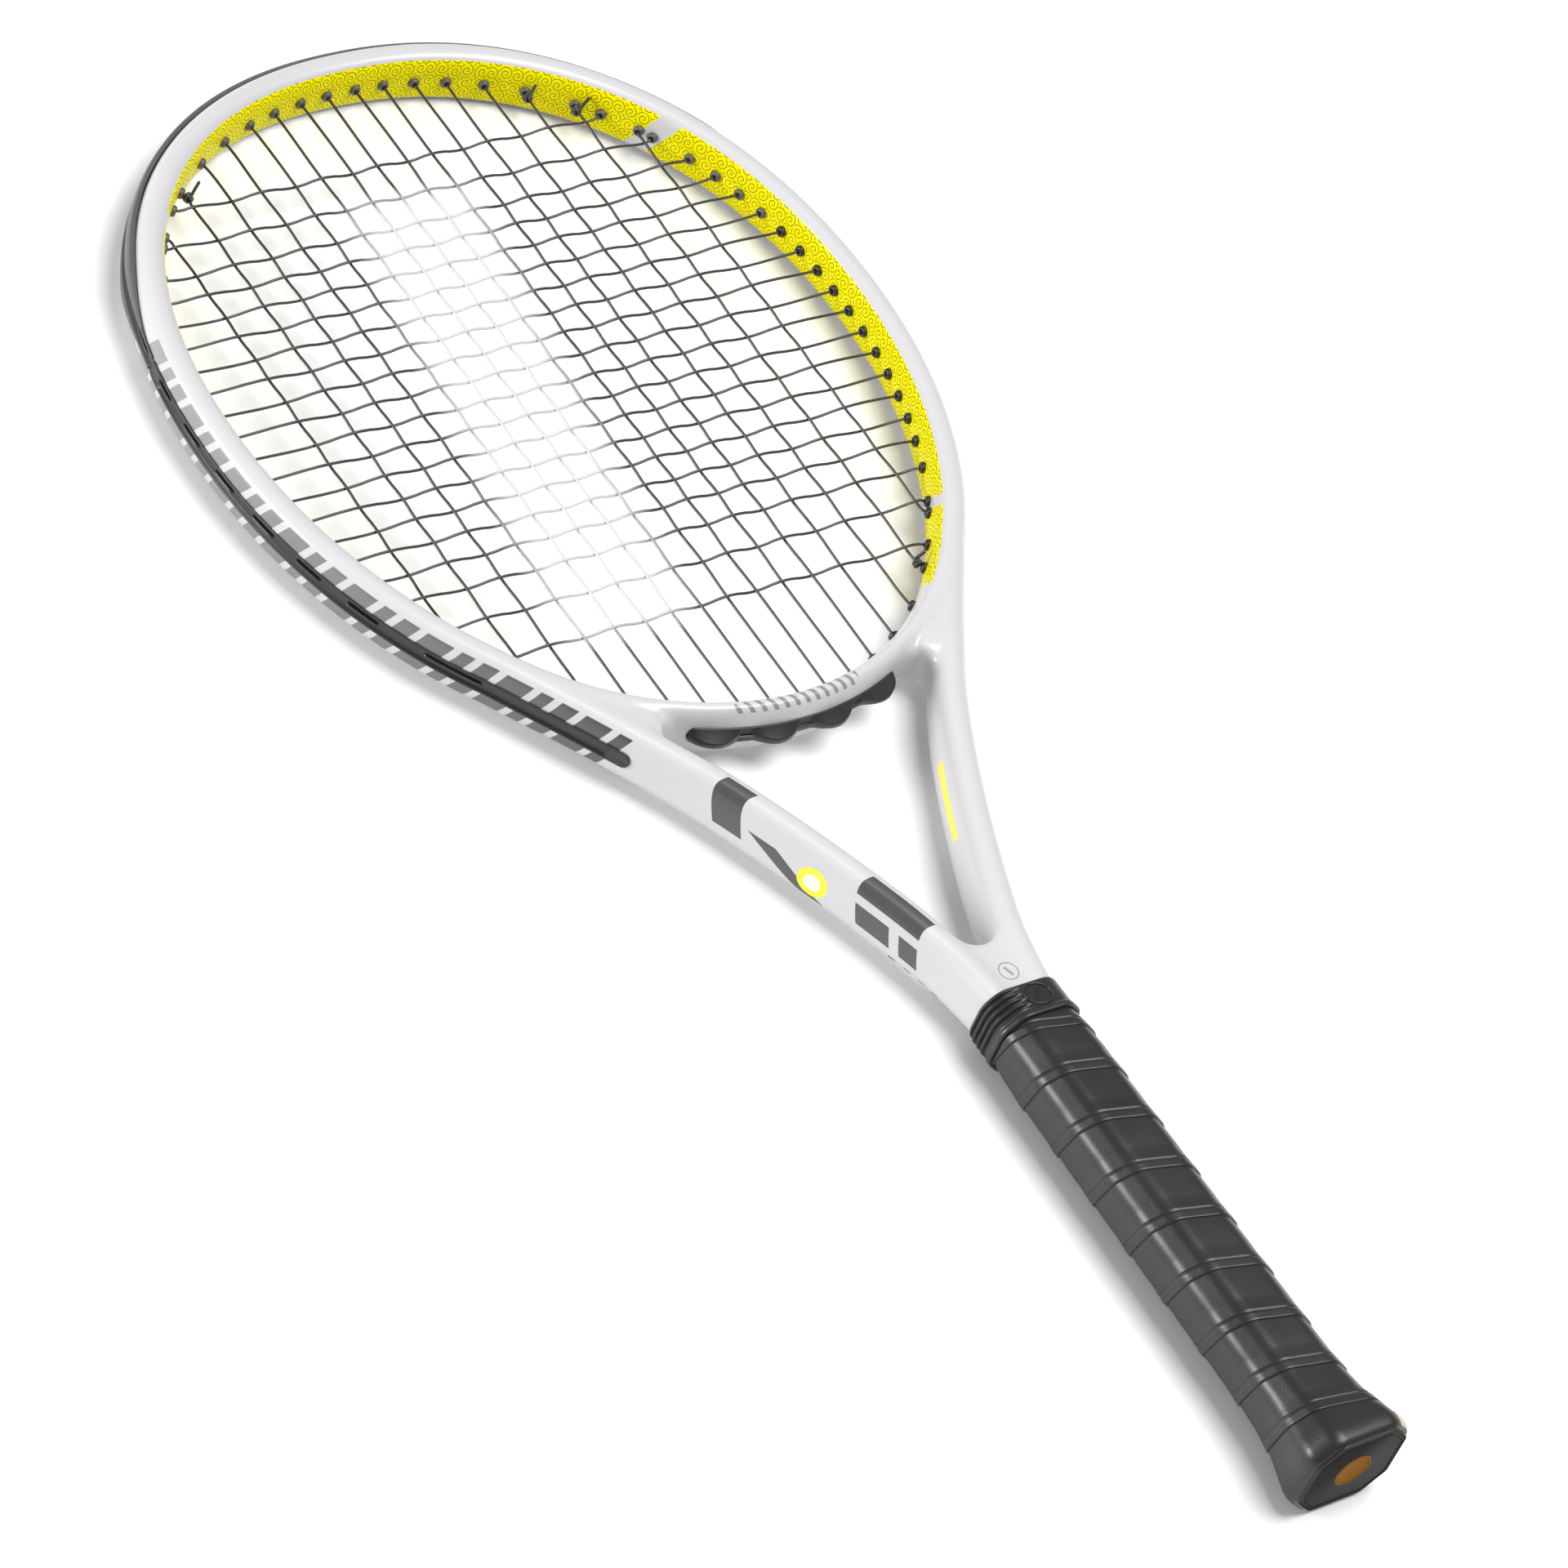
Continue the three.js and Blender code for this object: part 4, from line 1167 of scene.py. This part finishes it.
def badge_mask(x, y, z):
    """A round outline with a plain bar in it, at the top of the handle, on both faces."""
    reach = far_from(x, y - BADGE_Y)
    bar = reach.between(-1.0, 2.2, soft=0.08) & (x + (y - BADGE_Y) * 0.4).between(-0.7, 0.7)
    return (reach.between(3.4, 4.0, soft=0.08) | bar) & (z.math("ABSOLUTE") > 6.0)


def tick_masks(along, offset, x, y, z):
    """A row of short ticks on the bridge, and three rows of fine ones on the hoop's upper face."""
    slanted = ((x + y * 0.5) / 4.4).math("FRACT")
    row = x.between(-30.0, 24.0) & y.between(346.0, 352.6) & (z > 9.4) & slanted.between(0.1, 0.55, soft=0.04)
    middles = [along_at_polar(degrees) for degrees in TICK_ANGLES]
    spans = any_of(along.between(middle - TICK_HALF, middle + TICK_HALF) for middle in middles)
    fine = (along / 2.6).math("FRACT").between(0.2, 0.6, soft=0.05)
    return row & (offset < -8.0), spans & offset.between(-1.0, 1.1) & (z > 9.0) & fine


def frame_material():
    """White lacquer with its printed marks, all of them plain shapes."""
    p = Paint("frame_paint", Roughness=0.36, Coat_Roughness=0.15)
    x, y, z = p.place()
    offset, along = p.attribute("offset"), p.attribute("along")
    decal, spirals = decal_masks(p, along, offset, y, z)
    bars, rise = bar_masks(along, offset, x, z)
    marks, ring, ring_middle = shaft_masks(offset, x, y, z)
    dash = (x > 5.0) & y.between(279.0, 312.0) & z.between(-1.6, 3.0) & (offset < -2.0)
    row, fine_rows = tick_masks(along, offset, x, y, z)
    colour = WHITE
    for mark, mask in (
            (YELLOW, decal), (SPIRAL_INK, decal & spirals), (p.over(GREY, FADED_GREY, rise), bars),
            (GREY, marks), (YELLOW, ring | dash), (RING_MIDDLE, ring_middle), (TICK_GREY, row),
            (PALE_TICKS, fine_rows), (THIN_GREY, badge_mask(x, y, z))):
        colour = p.over(colour, mark, mask)
    p.set("Base Color", colour)
    p.set("Coat Weight", p.ramp(decal, 0.3, 0.0))
    p.set("Specular IOR Level", p.ramp(decal, 0.5, 0.05))
    p.bump(p.noise(420.0, detail=2.0), strength=0.03, distance=0.0004)
    return p


MOTTLE = 0.12


def moulded(name, colour, roughness, grain=900.0, strength=0.15, coat=0.0):
    """Moulded plastic or rubber with a fine grain and slightly uneven gloss."""
    p = Paint(name, Coat_Weight=coat, Coat_Roughness=0.3)
    cloud = p.noise(60.0, detail=4.0)
    p.set("Roughness", p.ramp(cloud, roughness - 0.08, roughness + 0.10))
    dark, light = (tuple(c * share for c in colour) for share in (1 - MOTTLE, 1 + MOTTLE))
    p.set("Base Color", p.over(dark, light, cloud))
    p.bump(p.noise(grain, detail=2.0), strength, distance=0.00012)
    return p


def string_material():
    """Dark string with a plain pale band painted across the string bed."""
    p = Paint("string_monofilament", Roughness=0.3, Coat_Weight=0.3)
    x, y, _ = p.place()
    painted = (x - (y - 500.0) * 0.16).between(-56.0, 10.0, soft=14.0) & y.between(396.0, 622.0, soft=12.0)
    patchy = p.ramp(p.noise(130.0), 0.80, 1.0)
    base = p.over((0.022, 0.021, 0.022), (0.040, 0.038, 0.040), p.noise(300.0, detail=2.0))
    p.set("Base Color", p.over(base, (0.64, 0.64, 0.64), painted & patchy))
    return p


def leather_material():
    p = Paint("grip_leather", Coat_Weight=0.10, Coat_Roughness=0.30)
    cloud = p.noise(45.0, detail=4.0)
    p.set("Base Color", p.over((0.010, 0.0085, 0.0088), (0.019, 0.0165, 0.017), cloud))
    p.set("Roughness", p.ramp(cloud, 0.30, 0.44))
    pores = p.node("ShaderNodeTexVoronoi", Vector=p.where(), Scale=1500.0)
    creases = p.noise(260.0, detail=5.0, roughness=0.6)
    p.bump(pores * 0.5 + creases, strength=0.22, distance=0.00018)
    return p


def disc_material():
    """Orange plastic with a darker line round its edge."""
    p = Paint("orange_disc", Roughness=0.6, Specular_IOR_Level=0.05)
    x, _, z = p.place()
    colour = p.over((0.22, 0.085, 0.004), (0.29, 0.115, 0.005), p.noise(220.0))
    p.set("Base Color", p.over(colour, (0.13, 0.05, 0.004), far_from(x, z).between(6.25, 6.6, soft=0.1)))
    return p


# ---- assembly
def own(piece, slot_name, *nodes):
    """Ride a piece on the root body in place of some CAD nodes, which are hidden; slot_name is not used."""
    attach(piece, "root")
    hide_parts(*nodes)
    return piece


def build_knots():
    """The four tied ends: the strings' x, tip (1) or throat (-1), and where the cut end points."""
    knots = (
        ("top_inner", MAIN_X[5], 1, (1.2, 0.5, 6.2)), ("top_outer", MAIN_X[6], 1, (5.0, 1.5, 4.6)),
        ("top_left", -MAIN_X[6], 1, (7.5, 6.0, 0.6)), ("bottom_right", MAIN_X[6], -1, (2.0, -1.0, 4.5)))
    return [own(build_knot(f"knot_{name}", x, end, tail), "string", f"tie_knot_{name}")
            for name, x, end, tail in knots]


def build_racket():
    guard_plastic = moulded("guard_nylon", (0.086, 0.081, 0.084), 0.42, 700.0, 0.12, coat=0.15)
    strip_plastic = moulded("grommet_nylon", (0.012, 0.011, 0.011), 0.42, 900.0, 0.08, coat=0.2)
    string = string_material()
    leather = leather_material()
    rubber = moulded("collar_rubber", (0.018, 0.016, 0.017), 0.36, 1200.0, 0.12)
    butt = moulded("butt_moulding", (0.011, 0.0095, 0.0095), 0.50, 800.0, 0.2)
    plate = moulded("plate_moulding", (0.014, 0.012, 0.0115), 0.55, 1000.0, 0.3)
    plate.set("Specular IOR Level", 0.15)

    frame_material().give(own(build_frame(), "frame", "frame"))
    guard_plastic.give(own(build_guard(), "guard", "bumper_guard"))
    strip_plastic.give(
        own(build_side_strip(-1), "grommet", "side_grommet_strip_left"),
        own(build_side_strip(1), "grommet", "side_grommet_strip_right"),
        own(build_throat_strip(), "grommet", "throat_grommet_strip"))
    string.give(
        own(build_string("strings_main", main_runs()), "string", "main_string"),
        own(build_string("strings_cross", cross_runs()), "string", "cross_string"),
        *build_knots())
    leather.give(own(build_grip(), "grip", "grip_tape"))
    rubber.give(own(build_collar(), "collar", "rubber_collar"), own(build_collar_badge(), "collar"))
    butt.give(own(build_cap(), "butt", "butt_cap"))
    plate.give(own(build_plate(), "butt", "butt_plate"))
    disc_material().give(own(build_disc(), "badge", "butt_badge"))
    backing = moulded("tape_backing", (0.60, 0.50, 0.39), 0.8, 500.0, 0.3)
    backing.give(own(build_tab(), "backing", "grip_start_tab"))

    moulded("pallet_foam", (0.45, 0.38, 0.26), 0.85, 400.0, 0.4).give(bpy.data.objects["handle_pallet"])
    moulded("vinyl_tape", (0.02, 0.02, 0.021), 0.4).give(own(build_vinyl(), "grip", "finishing_tape"))
    steel = moulded("staple_wire", (0.55, 0.56, 0.57), 0.35)
    steel.set("Metallic", 1.0)
    steel.give(bpy.data.objects["cap_staple_upper"], bpy.data.objects["cap_staple_lower"])


def build_floor():
    """A pale floor that the butt's lower edge and the tip's underside both touch."""
    touch_y, clearance = 0.339, 0.0005
    rise = math.atan((ORIGIN[2] - TUBE_H / 2) / (LENGTH - 12.0))
    bpy.ops.mesh.primitive_plane_add(size=14.0)
    floor = bpy.context.object
    floor.name = "floor"
    floor.rotation_euler = (rise, 0, 0)
    floor.location = (0, 0, math.tan(rise) * touch_y - clearance)
    p = Paint("floor_paper", Roughness=0.9)
    p.set("Base Color", p.over((0.94, 0.94, 0.94), (0.96, 0.96, 0.96), p.noise(3.0)))
    p.give(floor)


def area_light(name, position, size, power):
    """A round lamp that faces the racket's middle."""
    data = bpy.data.lights.new(name, "AREA")
    data.shape, data.size, data.energy = "DISK", size, power
    light = linked(name, data)
    light.location = position
    light.rotation_euler = (-Vector(position)).to_track_quat("-Z", "Y").to_euler()


def build_lights():
    world = bpy.data.worlds.new("studio")
    bpy.context.scene.world = world
    world.use_nodes = True
    colour, strength = world.node_tree.nodes["Background"].inputs[:2]
    colour.default_value = (1.0, 1.0, 1.0, 1.0)
    strength.default_value = 0.34
    area_light("left_low", (-2.2, 1.1, 0.65), 0.9, 46.0)
    area_light("overhead", (0.7, -0.5, 3.0), 2.2, 102.0)
    bpy.context.scene.view_settings.view_transform = "Standard"


def build_camera():
    """A far camera with a long lens: from the left, before the butt, 44 degrees up, and rolled."""
    data = bpy.data.cameras.new("camera")
    data.sensor_width, data.sensor_fit = 36.0, "HORIZONTAL"
    data.lens = 168.1
    data.clip_start, data.clip_end = 0.1, 30.0
    turn = Vector((2.37345648, -0.56201137, 0.63732529))
    world_to_view = Matrix.Rotation(turn.length, 3, turn.normalized())
    flip = Matrix(((1, 0, 0), (0, -1, 0), (0, 0, -1)))
    pose = (world_to_view.transposed() @ flip).to_4x4()
    pose.translation = Vector((-1.462816, -1.162651, 1.808233))
    camera = linked("camera", data)
    camera.matrix_world = pose
    bpy.context.scene.camera = camera


build_camera()
build_racket()
build_floor()
build_lights()
